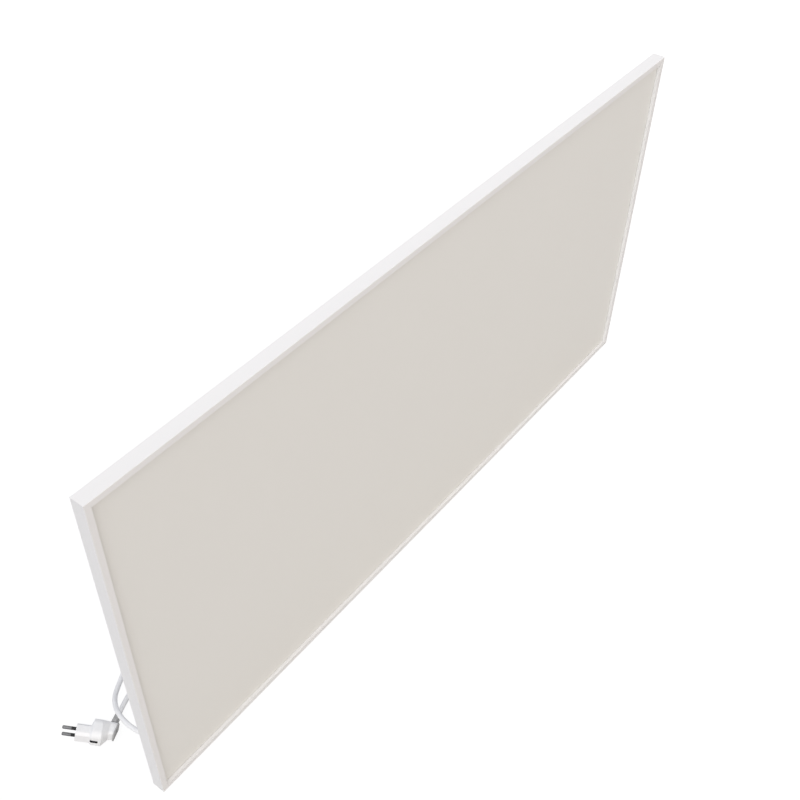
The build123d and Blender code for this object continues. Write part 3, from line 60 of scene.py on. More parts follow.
# %% [markdown]
# ## The camera
#
# The photograph looks down on the panel from the upper left, with the far end rising to the upper
# right. The camera's place, turn and lens were worked out from the panel's corners. The lens is
# shifted a little, as the photograph is a crop of a wider picture.

# %% Place the camera
CAMERA_PLACE = Vector((-0.97589, -0.68261, 1.42562))
CAMERA_RIGHT = Vector((0.61004741, -0.79209439, 0.02070332))
CAMERA_UP = Vector((0.558958, 0.448718, 0.697292))

camera_data = bpy.data.cameras.new("photo_camera")
camera_data.sensor_width = 36.0
camera_data.lens = 49.492
camera_data.shift_x = 0.00233
camera_data.shift_y = 0.04297
camera = bpy.data.objects.new("photo_camera", camera_data)
link(camera)
turn = Matrix((CAMERA_RIGHT, CAMERA_UP, CAMERA_RIGHT.cross(CAMERA_UP))).transposed()
camera.matrix_world = Matrix.Translation(CAMERA_PLACE) @ turn.to_4x4()
bpy.context.scene.camera = camera
print("lens in mm:", round(camera_data.lens, 1))

# %% [markdown]
# ## The cord
#
# A mains lead is a fixed length of something springy. It leaves the gland straight, falls to the
# floor in one loop, and the length that the photograph doesn't show is wound into a neat coil of
# two layers behind the panel. From there it comes back to the plug. One smooth NURBS line carries
# it all: its control points are the corners of the route, and the coil's turns are more of them.
# A corner lies a little outside the smooth line, so the coil's corners are set out further.

# %% Points of the cord's route, in millimetres
CORD_DIAMETER = 7.2
GLAND_TIP = (-519.0, 9.5, 52.0)
COIL_CENTRE = (-385.0, 160.0)
COIL_OUTER, TURN_PITCH, COIL_LOW, COIL_RISE = 49.2, 7.7, 5.3, 7.7
LAYER_TURNS, CLIMB_TURNS, REVERSAL_DIP = 2.5, 0.5, 1.6
POINTS_PER_TURN = 16

to_coil = [
    GLAND_TIP,
    (-541.0, 9.5, 52.0),
    (-560.5, 20.5, 51.0),
    (-572.0, 39.5, 49.0),
    (-573.5, 60.5, 46.5),
    (-571.0, 80.0, 43.0),
    (-565.0, 98.0, 37.0),
    (-555.0, 115.5, 27.5),
    (-541.5, 131.5, 16.0),
    (-522.0, 145.0, 8.5),
    (-502.5, 156.5, 5.7),
    (-483.0, 169.0, 5.4),
    (-463.0, 183.5, COIL_LOW),
    (-443.0, 197.5, COIL_LOW),
    (-420.0, 209.2, COIL_LOW),
    (-392.2, 209.2, COIL_LOW),
]


def clamped(value):
    """The value held between 0 and 1."""
    return max(0.0, min(1.0, value))


def coil_turns():
    """Control points of the coil: two layers of flat spiral, joined by a half turn that climbs."""
    across, back = COIL_CENTRE
    swell = 1 / cos(pi / POINTS_PER_TURN)
    points = []
    total = 2 * LAYER_TURNS + CLIMB_TURNS
    for i in range(int(total * POINTS_PER_TURN) + 1):
        turn_now = i / POINTS_PER_TURN
        wound = min(turn_now, total - turn_now, LAYER_TURNS)
        dip = REVERSAL_DIP * clamped((wound - LAYER_TURNS + CLIMB_TURNS) / CLIMB_TURNS)
        reach = (COIL_OUTER - TURN_PITCH * wound - dip) * swell
        climb = clamped((turn_now - LAYER_TURNS) / CLIMB_TURNS)
        height = COIL_LOW + COIL_RISE * (1 - cos(pi * climb)) / 2
        angle = pi / 2 - 2 * pi * turn_now
        points.append((across + reach * cos(angle), back + reach * sin(angle), height))
    return points


# %% [markdown]
# ### How the plug lies
#
# The plug rests on the floor on its wide collar and its grip, so its pins point away from the
# panel and a little up. All its pieces are built in its own axes first: x across the pins towards
# the room, y from pin to pin, and z the way the pins point. One matrix then lays them down.


# %% Moves and turns
def shift(x=0.0, y=0.0, z=0.0):
    """A move in millimetres."""
    return Matrix.Translation(Vector((x, y, z)) * MM)


def spin(degrees, axis):
    """A turn about one axis."""
    return Matrix.Rotation(radians(degrees), 4, axis)


# %% The plug's axes
PLUG_FACE = Vector((-620.0, 123.4, 25.2))
LEAD_LEAN = 12.5
YAW, PITCH, LEAN = radians(36.7), radians(14.0), radians(LEAD_LEAN)
pin_way = Vector((-sin(YAW) * cos(PITCH), cos(YAW) * cos(PITCH), sin(PITCH)))
side_way = Vector((-cos(YAW), -sin(YAW), 0))
pin_line = pin_way.cross(side_way)
lead_way = -side_way * cos(LEAN) - pin_way * sin(LEAN)
plug_turn = Matrix((side_way, pin_line, pin_way)).transposed()
lay_down = shift(*PLUG_FACE) @ plug_turn.to_4x4()

# the plug's sides, seen from between its pins, and the lead's place behind its face
NEAR_SIDE, LEAD_SIDE, LEAD_BEHIND = 11.0, 19.2, 44.3
RELIEF_SEAT, RELIEF_LENGTH = 4.0, 20.0
relief_start = PLUG_FACE - pin_way * LEAD_BEHIND + lead_way * (LEAD_SIDE - RELIEF_SEAT)
relief_end = relief_start + lead_way * (RELIEF_LENGTH + RELIEF_SEAT)

to_plug = [
    (-392.2, 110.8, COIL_LOW + COIL_RISE),
    (-415.0, 110.8, COIL_LOW + COIL_RISE),
    (-437.0, 113.5, 8.6),
    (-457.0, 118.0, 5.6),
    (-479.0, 122.5, 5.4),
    (-501.0, 123.4, 6.8),
    (-523.5, 119.6, 10.6),
    tuple(relief_end + lead_way * 18.0),
    tuple(relief_end),
]

# %% Draw the cord
route = to_coil + coil_turns() + to_plug
cord_curve = bpy.data.curves.new("mains_cord", "CURVE")
cord_curve.dimensions = "3D"
spline = cord_curve.splines.new("NURBS")
spline.points.add(len(route) - 1)
for point, place in zip(spline.points, route):
    point.co = (*(Vector(place) * MM), 1.0)
spline.order_u = 3
spline.use_endpoint_u = True
cord_curve.resolution_u = 6
cord_curve.bevel_depth = CORD_DIAMETER / 2 * MM
cord_curve.bevel_resolution = 6
cord_curve.use_fill_caps = True
cord = bpy.data.objects.new("mains_cord", cord_curve)
link(cord)
print("cord control points:", len(route))

# %% [markdown]
# ## Modelling helpers
#
# Each piece starts as a primitive of its real size and is shaped in edit mode. An operator works
# on everything that is selected, so a helper first clears the selection, and others pick faces or
# edges by their place or direction. Finished pieces get the CAD solid's place and a finish.


# %% Selecting and shaping
def only(piece):
    """Selects one object and makes it active."""
    bpy.ops.object.select_all(action="DESELECT")
    piece.select_set(True)
    bpy.context.view_layer.objects.active = piece


def edit(piece):
    """Opens one piece for shaping."""
    only(piece)
    bpy.ops.object.mode_set(mode="EDIT")


def close():
    """Ends shaping."""
    bpy.ops.object.mode_set(mode="OBJECT")


def named(piece, name):
    """Gives an object and its mesh one name."""
    piece.name = name
    piece.data.name = name
    return piece


def started(name):
    """Names the primitive that was just added."""
    return named(bpy.context.object, name)


def pick(piece, test, kind="faces"):
    """Selects, in edit mode, the faces, edges or vertices that pass a test."""
    bpy.ops.mesh.select_mode(type={"faces": "FACE", "edges": "EDGE", "verts": "VERT"}[kind])
    bpy.ops.mesh.select_all(action="DESELECT")
    mesh = bmesh.from_edit_mesh(piece.data)
    found = [part for part in getattr(mesh, kind) if test(part)]
    for part in found:
        part.select_set(True)
    mesh.select_flush_mode()
    bmesh.update_edit_mesh(piece.data)
    return len(found)


def modify(piece, kind, **settings):
    """Adds a modifier, sets it and applies it."""
    only(piece)
    modifier = piece.modifiers.new(kind.lower(), kind)
    for key, value in settings.items():
        setattr(modifier, key, value)
    bpy.ops.object.modifier_apply(modifier=modifier.name)
    return piece


def soften(piece, width, segments=3, angle=30.0):
    """Rounds the sharp edges a little, as moulding and folding do."""
    limit = {"limit_method": "ANGLE", "angle_limit": radians(angle)}
    modify(piece, "BEVEL", width=width * MM, segments=segments, **limit)
    return shade(piece)


def shade(piece, angle=32.0):
    """Smooth shading across gentle angles, crisp across sharp ones, and flat on large faces."""
    only(piece)
    bpy.ops.object.shade_smooth_by_angle(angle=radians(angle))
    return modify(piece, "WEIGHTED_NORMAL", keep_sharp=True)


def settle(piece, matrix=None):
    """Puts a piece in place, in metres, and leaves its object at the origin, unturned."""
    only(piece)
    if matrix is not None:
        piece.matrix_world = matrix @ piece.matrix_world
    bpy.ops.object.transform_apply(location=True, rotation=True, scale=True)
    return piece


def copy_of(node, name):
    """A working copy of a CAD solid, its loose triangles joined into clean faces."""
    piece = nodes[node].copy()
    piece.data = nodes[node].data.copy()
    named(piece, name)
    piece.parent = None
    for key in list(piece.keys()):
        del piece[key]
    link(piece)
    edit(piece)
    bpy.ops.mesh.select_all(action="SELECT")
    bpy.ops.mesh.remove_doubles(threshold=0.00001)
    bpy.ops.mesh.dissolve_limited(angle_limit=radians(0.6))
    close()
    return piece


# %% [markdown]
# ## Finishes
#
# Nothing on this heater is one flat colour when seen close. Powder coating has a fine skin like
# orange peel, moulded plastic a soft grain, zinc a crystalline grey, and folded sheet a faint
# direction. The maths for these patterns is written as Python expressions on sockets.


# %% Sockets that can be added and multiplied
class Wire:
    """One output of a shader node. Sums and products of wires add Math nodes."""

    def __init__(self, patch, socket):
        self.patch = patch
        self.socket = socket

    def math(self, operation, first, second):
        return self.patch.node("Math", {0: first, 1: second}, operation=operation)

    def __add__(self, other):
        return self.math("ADD", self, other)

    def __radd__(self, other):
        return self.math("ADD", other, self)

    def __sub__(self, other):
        return self.math("SUBTRACT", self, other)

    def __rsub__(self, other):
        return self.math("SUBTRACT", other, self)

    def __mul__(self, other):
        return self.math("MULTIPLY", self, other)

    def __rmul__(self, other):
        return self.math("MULTIPLY", other, self)


# %% A node tree and the one method that adds its nodes
class Patch:
    """The node tree of a material or of the sky."""

    def __init__(self, owner):
        owner.use_nodes = True
        self.tree = owner.node_tree

    def node(self, kind, inputs=None, output=0, **settings):
        """Adds one node, sets it, fills its sockets and returns the named output."""
        new = self.tree.nodes.new("ShaderNode" + kind)
        for key, value in settings.items():
            if key == "stops":
                self.set_stops(new.color_ramp, value)
            else:
                setattr(new, key, value)
        for key, value in (inputs or {}).items():
            self.fill(new.inputs[key], value)
        return Wire(self, new.outputs[output])

    def fill(self, socket, value):
        """Links a wire into a socket, or sets its value."""
        if isinstance(value, Wire):
            self.tree.links.new(value.socket, socket)
        else:
            socket.default_value = value

    def show(self, kind, share, first, second):
        """Ends the tree with an output that mixes two shaders."""
        mixed = self.node("MixShader", {0: share, 1: first, 2: second})
        self.fill(self.tree.nodes.new("ShaderNode" + kind).inputs[0], mixed)

    def set_stops(self, ramp, stops):
        """Sets a ramp's places and grey values."""
        while len(ramp.elements) < len(stops):
            ramp.elements.new(0.5)
        for element, (place, grey) in zip(ramp.elements, stops):
            element.position = place
            element.color = (grey, grey, grey, 1.0)


# %% A finish and its patterns
class Finish(Patch):
    """A material with a Principled shader whose inputs are set or linked by name."""

    def __init__(self, name):
        self.material = bpy.data.materials.new(name)
        super().__init__(self.material)
        self.shader = self.tree.nodes["Principled BSDF"]
        self.place = self.node("TexCoord", output="Object")

    def noise(self, size_mm, detail=2.0, stretch=(1, 1, 1), roughness=0.5):
        """Noise whose blotches are about this many millimetres wide."""
        mapped = self.node("Mapping", {"Vector": self.place, "Scale": stretch})
        inputs = {"Vector": mapped, "Scale": 1000.0 / size_mm, "Detail": detail}
        return self.node("TexNoise", {**inputs, "Roughness": roughness}, "Fac")

    def cells(self, size_mm):
        """Cells about this many millimetres wide: the distance to their middles."""
        inputs = {"Vector": self.place, "Scale": 1000.0 / size_mm}
        return self.node("TexVoronoi", inputs, "Distance")

    def ramp(self, value, stops):
        """Grey steps along a value."""
        return self.node("ValToRGB", {"Fac": value}, stops=stops)

    def blend(self, share, first, second):
        """A colour between two colours."""
        inputs = {0: share, 6: (*first, 1.0), 7: (*second, 1.0)}
        return self.node("Mix", inputs, 2, data_type="RGBA")

    def bump(self, height, strength, depth_mm):
        """A normal tilted by a height pattern."""
        inputs = {"Strength": strength, "Distance": depth_mm * MM, "Height": height}
        return self.node("Bump", inputs, "Normal")

    def set(self, **inputs):
        """Fills the Principled shader's sockets; underscores stand for spaces."""
        for key, value in inputs.items():
            self.fill(self.shader.inputs[key.replace("_", " ")], value)
        return self.material


# %% [markdown]
# ### White paint on the frame
#
# The rails are powder coated: a hard semi-matt skin whose surface rises and falls by a few
# hundredths of a millimetre, about once a millimetre. A faint larger waviness comes from the
# extrusion under it. Both go into the bump, and a trace of them into the roughness.


# %% Powder coating
def powder_coat(name, colour, shade_colour, roughness, grain_mm, depth_mm):
    """A powder-coated sheet or extrusion."""
    coat = Finish(name)
    skin = coat.noise(grain_mm, 2.0)
    drift = coat.noise(140.0, 1.0)
    speck = coat.ramp(coat.noise(2.4, 1.0), [(0.6, 0.0), (0.74, 1.0)])
    tone = coat.blend(drift * 0.6 + speck * 0.12, colour, shade_colour)
    return coat.set(
        Base_Color=tone,
        Roughness=roughness + (skin - 0.5) * 0.12 + (drift - 0.5) * 0.06,
        Normal=coat.bump(skin + drift * 0.4, 0.35, depth_mm),
        Specular_IOR_Level=0.4,
    )


frame_white = powder_coat(
    "frame_white_paint", (0.865, 0.863, 0.86), (0.848, 0.846, 0.842), 0.42, 1.1, 0.03
)
plate_white = powder_coat(
    "plate_matt_paint", (0.821, 0.817, 0.784), (0.809, 0.805, 0.771), 0.55, 0.7, 0.015
)


# %% [markdown]
# ### Moulded plastic, rubber and the cord's sheath
#
# The plug, the terminal box and the gland are moulded. Moulds are lightly blasted, so the plastic
# has a fine even grain and a soft shine. The cord's sheath is smoother and a little glossier.


# %% Moulded plastic
def moulded(name, colour, deeper, roughness, grain_mm, depth_mm, specular=0.5):
    """A moulded plastic or rubber surface with a blasted grain."""
    plastic = Finish(name)
    grain = plastic.noise(grain_mm, 3.0, roughness=0.6)
    cloud = plastic.noise(18.0, 2.0)
    return plastic.set(
        Base_Color=plastic.blend(cloud * 0.7 + grain * 0.3, colour, deeper),
        Roughness=roughness + (grain - 0.5) * 0.16 + (cloud - 0.5) * 0.08,
        Normal=plastic.bump(grain, 0.4, depth_mm),
        Specular_IOR_Level=specular,
    )


plug_white = moulded(
    "plug_white_plastic", (0.915, 0.918, 0.92), (0.895, 0.898, 0.9), 0.33, 0.45, 0.02
)
sheath_white = moulded(
    "cord_white_sheath", (0.925, 0.925, 0.927), (0.905, 0.905, 0.907), 0.38, 0.6, 0.02
)
gasket_white = moulded(
    "gasket_white_rubber", (0.78, 0.78, 0.77), (0.74, 0.74, 0.73), 0.65, 0.8, 0.03, 0.3
)
# The grip's grey is painted shade: its rear faces away from the light, so it is coloured darker
# than the shells.
grip_shade_grey = moulded(
    "grip_plastic_painted_shade", (0.47, 0.47, 0.465), (0.41, 0.41, 0.405), 0.55, 0.5, 0.03, 0.3
)
relief_grey = moulded(
    "relief_grey_rubber", (0.56, 0.56, 0.555), (0.49, 0.49, 0.485), 0.6, 0.5, 0.03
)
box_white = moulded("box_white_plastic", (0.84, 0.84, 0.83), (0.82, 0.82, 0.808), 0.42, 0.55, 0.03)
gland_grey = moulded(
    "gland_light_grey_plastic", (0.7, 0.7, 0.695), (0.67, 0.67, 0.66), 0.42, 0.5, 0.03
)
block_cream = moulded(
    "terminal_block_plastic", (0.78, 0.76, 0.71), (0.75, 0.73, 0.68), 0.45, 0.6, 0.03
)
tie_white = moulded("tie_plastic", (0.8, 0.8, 0.785), (0.77, 0.77, 0.75), 0.38, 0.8, 0.02)
pad_grey = moulded("pad_grey_rubber", (0.16, 0.16, 0.16), (0.12, 0.12, 0.12), 0.72, 0.7, 0.05, 0.3)
cutout_brown = moulded("cutout_phenolic", (0.1, 0.065, 0.045), (0.07, 0.045, 0.03), 0.45, 0.4, 0.02)
wire_brown = moulded("wire_brown", (0.14, 0.06, 0.03), (0.11, 0.05, 0.025), 0.42, 0.5, 0.01)
wire_blue = moulded("wire_blue", (0.03, 0.11, 0.42), (0.025, 0.09, 0.36), 0.42, 0.5, 0.01)
sleeve_black = moulded(
    "pin_sleeve_black", (0.012, 0.012, 0.012), (0.02, 0.02, 0.02), 0.45, 0.4, 0.01, 0.3
)
core_grey = moulded("core_sheath", (0.3, 0.32, 0.34), (0.25, 0.27, 0.29), 0.45, 0.5, 0.01)


# %% Green and yellow earth wire
def striped(name, ground, stripe, width_mm):
    """A wire with a stripe that winds round it."""
    wire = Finish(name)
    mapped = wire.node("Mapping", {"Vector": wire.place, "Rotation": (0.6, 0.5, 0.4)})
    inputs = {"Vector": mapped, "Scale": 1000.0 / width_mm / 20}
    band = wire.node("TexWave", inputs, "Fac")
    edge = wire.ramp(band, [(0.46, 0.0), (0.54, 1.0)])
    tone = wire.blend(edge, ground, stripe)
    return wire.set(Base_Color=tone, Roughness=0.42 + (band - 0.5) * 0.02)


wire_earth = striped("wire_green_yellow", (0.05, 0.3, 0.06), (0.75, 0.66, 0.04), 2.4)


# %% [markdown]
# ### Metals
#
# The brackets and screws are zinc plated: the plating dries in soft-edged patches that shine a
# little differently. Brushed and rolled metals have long fine lines instead. The plug's pins are
# nickel plated and polished, so they keep only a trace of such lines.


# %% Plated, rolled and polished metal
def plated(name, colour, deeper, roughness, patch_mm, line_stretch=(1, 1, 1), depth_mm=0.01):
    """A metal with soft patches and fine lines along one direction."""
    metal = Finish(name)
    patches = metal.cells(patch_mm)
    cloud = metal.noise(patch_mm * 3, 2.0)
    lines = metal.noise(1.2, 3.0, line_stretch)
    return metal.set(
        Base_Color=metal.blend(patches * 0.5 + cloud * 0.5, colour, deeper),
        Metallic=1.0,
        Roughness=roughness + (lines - 0.5) * 0.16 + (patches - 0.5) * 0.1,
        Normal=metal.bump(lines, 0.3, depth_mm),
    )


zinc = plated("zinc_plated_sheet", (0.66, 0.67, 0.69), (0.55, 0.56, 0.58), 0.4, 5.0)
screw_metal = plated("screw_zinc", (0.62, 0.63, 0.65), (0.52, 0.53, 0.55), 0.3, 2.0)
cover_metal = plated(
    "cover_coated_sheet", (0.76, 0.77, 0.78), (0.7, 0.71, 0.72), 0.46, 9.0, (0.02, 1, 1)
)
rivet_metal = plated("rivet_aluminium", (0.74, 0.74, 0.75), (0.66, 0.66, 0.67), 0.34, 2.0)
# The pins' colour is set far darker than nickel: painted shade that stands in for the dark
# surroundings the pins mirror. The earth contacts share it.
pin_metal = plated(
    "pins_nickel_painted_dark", (0.18, 0.18, 0.185), (0.14, 0.14, 0.145), 0.4, 6.0, (1, 1, 1), 0.001
)
brass = plated("brass_turned", (0.78, 0.6, 0.3), (0.68, 0.51, 0.25), 0.28, 2.0)
copper = plated("busbar_copper", (0.78, 0.42, 0.28), (0.68, 0.36, 0.24), 0.34, 6.0, (0.02, 1, 1))
foil = plated("reflector_foil", (0.88, 0.88, 0.89), (0.8, 0.8, 0.81), 0.22, 14.0, (1, 1, 1), 0.06)

# %% [markdown]
# ### Films, heating ink and insulation
#
# These lie between the plate and the back cover and are seen only when the heater is taken apart.
# The film is a tinted polyester, the ink a dense black print, and the board a pressed fibre felt.


# %% Finishes of the hidden layers
def felt(name, colour, deeper):
    """Pressed fibres: fine crossing streaks over soft blotches."""
    board = Finish(name)
    fibres = board.noise(1.5, 4.0, (1, 1, 0.12)) + board.noise(1.5, 4.0, (0.12, 1, 1))
    blotch = board.noise(26.0, 3.0)
    return board.set(
        Base_Color=board.blend(fibres * 0.35 + blotch * 0.3, colour, deeper),
        Roughness=0.88 + (blotch - 0.5) * 0.1,
        Normal=board.bump(fibres, 0.7, 0.3),
    )


fibre_board = felt("insulation_felt", (0.74, 0.72, 0.64), (0.58, 0.55, 0.47))
film_amber = moulded("polyester_film", (0.62, 0.5, 0.26), (0.56, 0.45, 0.23), 0.22, 6.0, 0.02)
carbon_ink = moulded("carbon_ink", (0.022, 0.022, 0.024), (0.035, 0.035, 0.037), 0.62, 1.2, 0.02)

# %% [markdown]
# ## Starts and cuts
#
# Moulded and turned pieces start as a box or a round bar of their real size. Holes and slots are
# cut with a second piece, as a cutter or a core pin would leave them. What repeats, such as a
# screw, is modelled once and set in all its places, each copy with its own mesh.


# %% Boxes, bars, cuts and copies
X, Y, Z = range(3)  # the numbers of the axes


def block(name, size, middle):
    """A box of this size around this middle, in millimetres."""
    bpy.ops.mesh.primitive_cube_add(size=1.0, location=Vector(middle) * MM)
    piece = started(name)
    piece.scale = Vector(size) * MM
    return settle(piece)


def bar(name, radius, low, high, tip=None, sides=24):
    """A round bar along z from low to high, tapered when the tip's radius is given."""
    bpy.ops.mesh.primitive_cone_add(
        vertices=sides,
        radius1=radius * MM,
        radius2=(radius if tip is None else tip) * MM,
        depth=(high - low) * MM,
        location=(0, 0, (low + high) / 2 * MM),
    )
    return settle(started(name))


def centre(part):
    """The middle of a face in millimetres."""
    return part.calc_center_median() / MM


def ends(edge):
    """Both ends of an edge in millimetres."""
    return edge.verts[0].co / MM, edge.verts[1].co / MM


def above(height, axis=Z):
    """A test for edges that lie beyond a place along one axis."""
    return lambda a, b: min(a[axis], b[axis]) > height


def along(axis, length):
    """A test for edges that run at least this far along one axis."""
    return lambda a, b: abs(a[axis] - b[axis]) > length


def looks_down(face):
    """A test for faces that look down the piece's own z."""
    return face.normal.z < -0.9


def round_edges(piece, test, width, segments=3):
    """Rounds the edges whose two ends pass a test."""
    if pick(piece, lambda edge: test(*ends(edge)), "edges"):
        bpy.ops.mesh.bevel(offset=width * MM, segments=segments, affect="EDGES")


def push(piece, test, **move):
    """Extrudes the faces that pass a test by x, y and z in millimetres."""
    pick(piece, test)
    step = tuple(move.get(axis, 0.0) * MM for axis in "xyz")
    bpy.ops.mesh.extrude_region_move(TRANSFORM_OT_translate={"value": step})


def sink(piece, test, rim, depth, each=False):
    """Insets the faces that pass a test and lowers them."""
    found = pick(piece, test)
    bpy.ops.mesh.inset(
        thickness=rim * MM, depth=-depth * MM, use_individual=each, use_even_offset=True
    )
    return found


def draw_shank(piece, rim, length):
    """Insets the underside of a turned piece, and draws what the ring leaves into a shank."""
    sink(piece, looks_down, rim, 0.0)
    push(piece, lambda face: looks_down(face) and len(face.verts) > 8, z=-length)


def slice_at(heights, axis=Z):
    """Cuts new edge rings across the open piece at these places along one axis."""
    for height in heights:
        place, normal = [0.0, 0.0, 0.0], [0.0, 0.0, 0.0]
        place[axis], normal[axis] = height * MM, 1.0
        bpy.ops.mesh.select_all(action="SELECT")
        bpy.ops.mesh.bisect(plane_co=place, plane_no=normal)


def carve(piece, cutter, operation="DIFFERENCE"):
    """Cuts one piece's shape out of another, or adds it, and removes the second piece."""
    modify(piece, "BOOLEAN", object=cutter, operation=operation, solver="EXACT")
    bpy.data.objects.remove(cutter, do_unlink=True)


def fuse(pieces, name):
    """Joins finished pieces into one object."""
    bpy.ops.object.select_all(action="DESELECT")
    for piece in pieces:
        piece.select_set(True)
    bpy.context.view_layer.objects.active = pieces[0]
    if len(pieces) > 1:
        bpy.ops.object.join()
    return named(bpy.context.object, name)


def repeat(piece, places, name):
    """Sets a copy of a piece in each place, with its own mesh, and joins the copies."""
    copies = []
    for place in places:
        copy = piece.copy()
        copy.data = piece.data.copy()
        link(copy)
        copies.append(settle(copy, place))
    bpy.data.objects.remove(piece, do_unlink=True)
    return fuse(copies, name)


def dress(piece, finish, slot, *solids):
    """Gives a piece its finish and its body, and hides the solids that it stands for. The slot is
    not used.
    """
    if finish:
        piece.data.materials.clear()
        piece.data.materials.append(finish)
    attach(piece, "root")
    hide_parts(*solids)
    print(piece.name, "faces:", len(piece.data.polygons))


# %% [markdown]
# ## The plug
#
# A moulded side-exit plug in two shells. The front shell has an eight-sided block that goes into
# the socket and a rounded collar that the fingers push on. Its section changes from cut corners to
# round ones, so it is drawn as outlines across the plug, one where each form begins and ends, and
# walls are bridged between them.


# %% Outlines and the walls between them
def outline(behind, near, far, half_height, corner, lean=0.0, profile=0.5):
    """A closed outline across the plug. Its corners are round, or all but cut at a low profile."""
    bpy.ops.mesh.primitive_plane_add(size=1.0, location=((near - far) / 2 * MM, 0, 0))
    ring = started("outline")
    ring.scale = ((near + far) * MM, 2 * half_height * MM, 1.0)
    settle(ring)
    edit(ring)
    pick(ring, lambda vert: True, "verts")
    bpy.ops.mesh.bevel(offset=corner * MM, segments=6, profile=profile, affect="VERTICES")
    bpy.ops.mesh.select_all(action="SELECT")
    bpy.ops.mesh.delete(type="ONLY_FACE")
    close()
    return settle(ring, Matrix.Translation((0, 0, -behind * MM)) @ spin(-lean, "Y"))


def bridged(name, rings):
    """Joins outlines with walls and closes both ends."""
    piece = fuse(rings, name)
    edit(piece)
    bpy.ops.mesh.select_mode(type="EDGE")
    bpy.ops.mesh.select_all(action="SELECT")
    bpy.ops.mesh.bridge_edge_loops(type="SINGLE")
    bpy.ops.mesh.select_all(action="SELECT")
    bpy.ops.mesh.fill_holes(sides=0)
    bpy.ops.mesh.normals_make_consistent(inside=False)
    close()
    return piece


# %% Front shell
BLOCK_LENGTH, COLLAR_START, COLLAR_END = 19.6, 22.5, 35.3
block_size = (9.3, 9.1, 12.6, 4.0)
collar_size = (NEAR_SIDE, LEAD_SIDE, 17.0, 9.5)
COLLAR_LEAN, CUT_PROFILE = -5.0, 0.28
shell = bridged(
    "plug_front",
    [
        outline(0.0, *block_size, profile=CUT_PROFILE),
        outline(BLOCK_LENGTH, *block_size, profile=CUT_PROFILE),
        outline(COLLAR_START, *collar_size),
        outline(COLLAR_END, *collar_size, lean=COLLAR_LEAN),
    ],
)
edit(shell)
for behind, width in ((0.0, 0.9), (BLOCK_LENGTH, 0.8), (COLLAR_START, 1.3)):
    round_edges(shell, lambda a, b: max(abs(a.z + behind), abs(b.z + behind)) < 0.01, width)
close()
soften(shell, 0.3, 2, 25.0)

# %% [markdown]
# ### Earth slots and the shell's screw hole
#
# On each flank a slot shows the spring contact that meets the socket's earth clip. The slot is a
# rounded box cut into the collar, and its walls are dark, as the hollow behind it gets no light.

# %% Cut the slots and the screw hole
slot_dark = moulded("plug_slot_shadow", (0.05, 0.05, 0.05), (0.03, 0.03, 0.03), 0.7, 0.5, 0.01, 0.2)
shell.data.materials.append(plug_white)
shell.data.materials.append(slot_dark)
FLANKS = ((1, NEAR_SIDE), (-1, LEAD_SIDE))
SLOT_SIZE, SLOT_DEPTH, SLOT_BEHIND = (12.0, 6.4, 10.9), 2.6, 26.75
for side, reach in FLANKS:
    middle = (side * (reach - SLOT_DEPTH + SLOT_SIZE[0] / 2), 0, -SLOT_BEHIND)
    cutter = block("slot_cutter", SLOT_SIZE, middle)
    cutter.data.materials.append(slot_dark)
    edit(cutter)
    round_edges(cutter, along(X, 5), 1.5, 4)
    close()
    carve(shell, cutter)
# The screw hole's walls get the same painted shade as the slots.
cutter = bar("hole_cutter", 2.6, -8.0, 2.0)
cutter.data.materials.append(slot_dark)
carve(shell, cutter)
shade(shell, 28.0)
dress(settle(shell, lay_down), None, "plug_plastic", "plug_front_shell")

# %% Earth contacts: a strip with a raised middle in each slot
contacts = []
for side, reach in FLANKS:
    strip = block("earth_contact", (0.8, 5.0, 9.9), (side * (reach - 2.2), 0, -SLOT_BEHIND))
    edit(strip)
    slice_at((-30.0, -28.0, -25.5, -23.5))
    pick(strip, lambda face: side * face.normal.x > 0.9 and -28.1 < centre(face).z < -25.4)
    bpy.ops.transform.translate(value=(side * 0.7 * MM, 0, 0))
    close()
    contacts.append(soften(strip, 0.2, 2))
earthing = settle(fuse(contacts, "earth_contacts"), lay_down)
dress(earthing, pin_metal, "plated_pins", "plug_earth_strips")

# %% [markdown]
# ### Rear shell, grip and lead
#
# Behind the collar the plug narrows to a waist. The lead leaves from one side of it through a
# ribbed sleeve, and a thin ridged plate at the very end lets the fingers pull the plug out.

# %% Rear shell
WAIST_START, WAIST_END, GRIP_LEAN = 44.0, 50.6, 12.0
rear = bridged(
    "plug_rear",
    [
        outline(COLLAR_END, *collar_size, lean=COLLAR_LEAN),
        outline(WAIST_START, 1.4, LEAD_SIDE, 11.4, 5.0, lean=3.0),
        outline(WAIST_END, 0.4, LEAD_SIDE, 11.4, 5.0, lean=GRIP_LEAN),
    ],
)
soften(rear, 0.5, 3, 12.0)
lead_frame = shift(z=-LEAD_BEHIND) @ spin(-90 - LEAD_LEAN, "Y")
seat_start = LEAD_SIDE - RELIEF_SEAT
cutter = settle(bar("seat_cutter", 5.75, seat_start, 30.0, sides=32), lead_frame)
carve(rear, cutter)
shade(rear, 28.0)
dress(settle(rear, lay_down), plug_white, "plug_plastic", "plug_rear_shell")

# %% Ridged grip plate
RIDGE_PITCH, RIDGED_HALF = 1.6, 9.6


def on_ridge(face):
    """A test for every other strip on the grip's rear."""
    across = centre(face).y
    strip_number = (across + RIDGED_HALF) // RIDGE_PITCH
    return looks_down(face) and strip_number % 2 == 0 and abs(across) < RIDGED_HALF


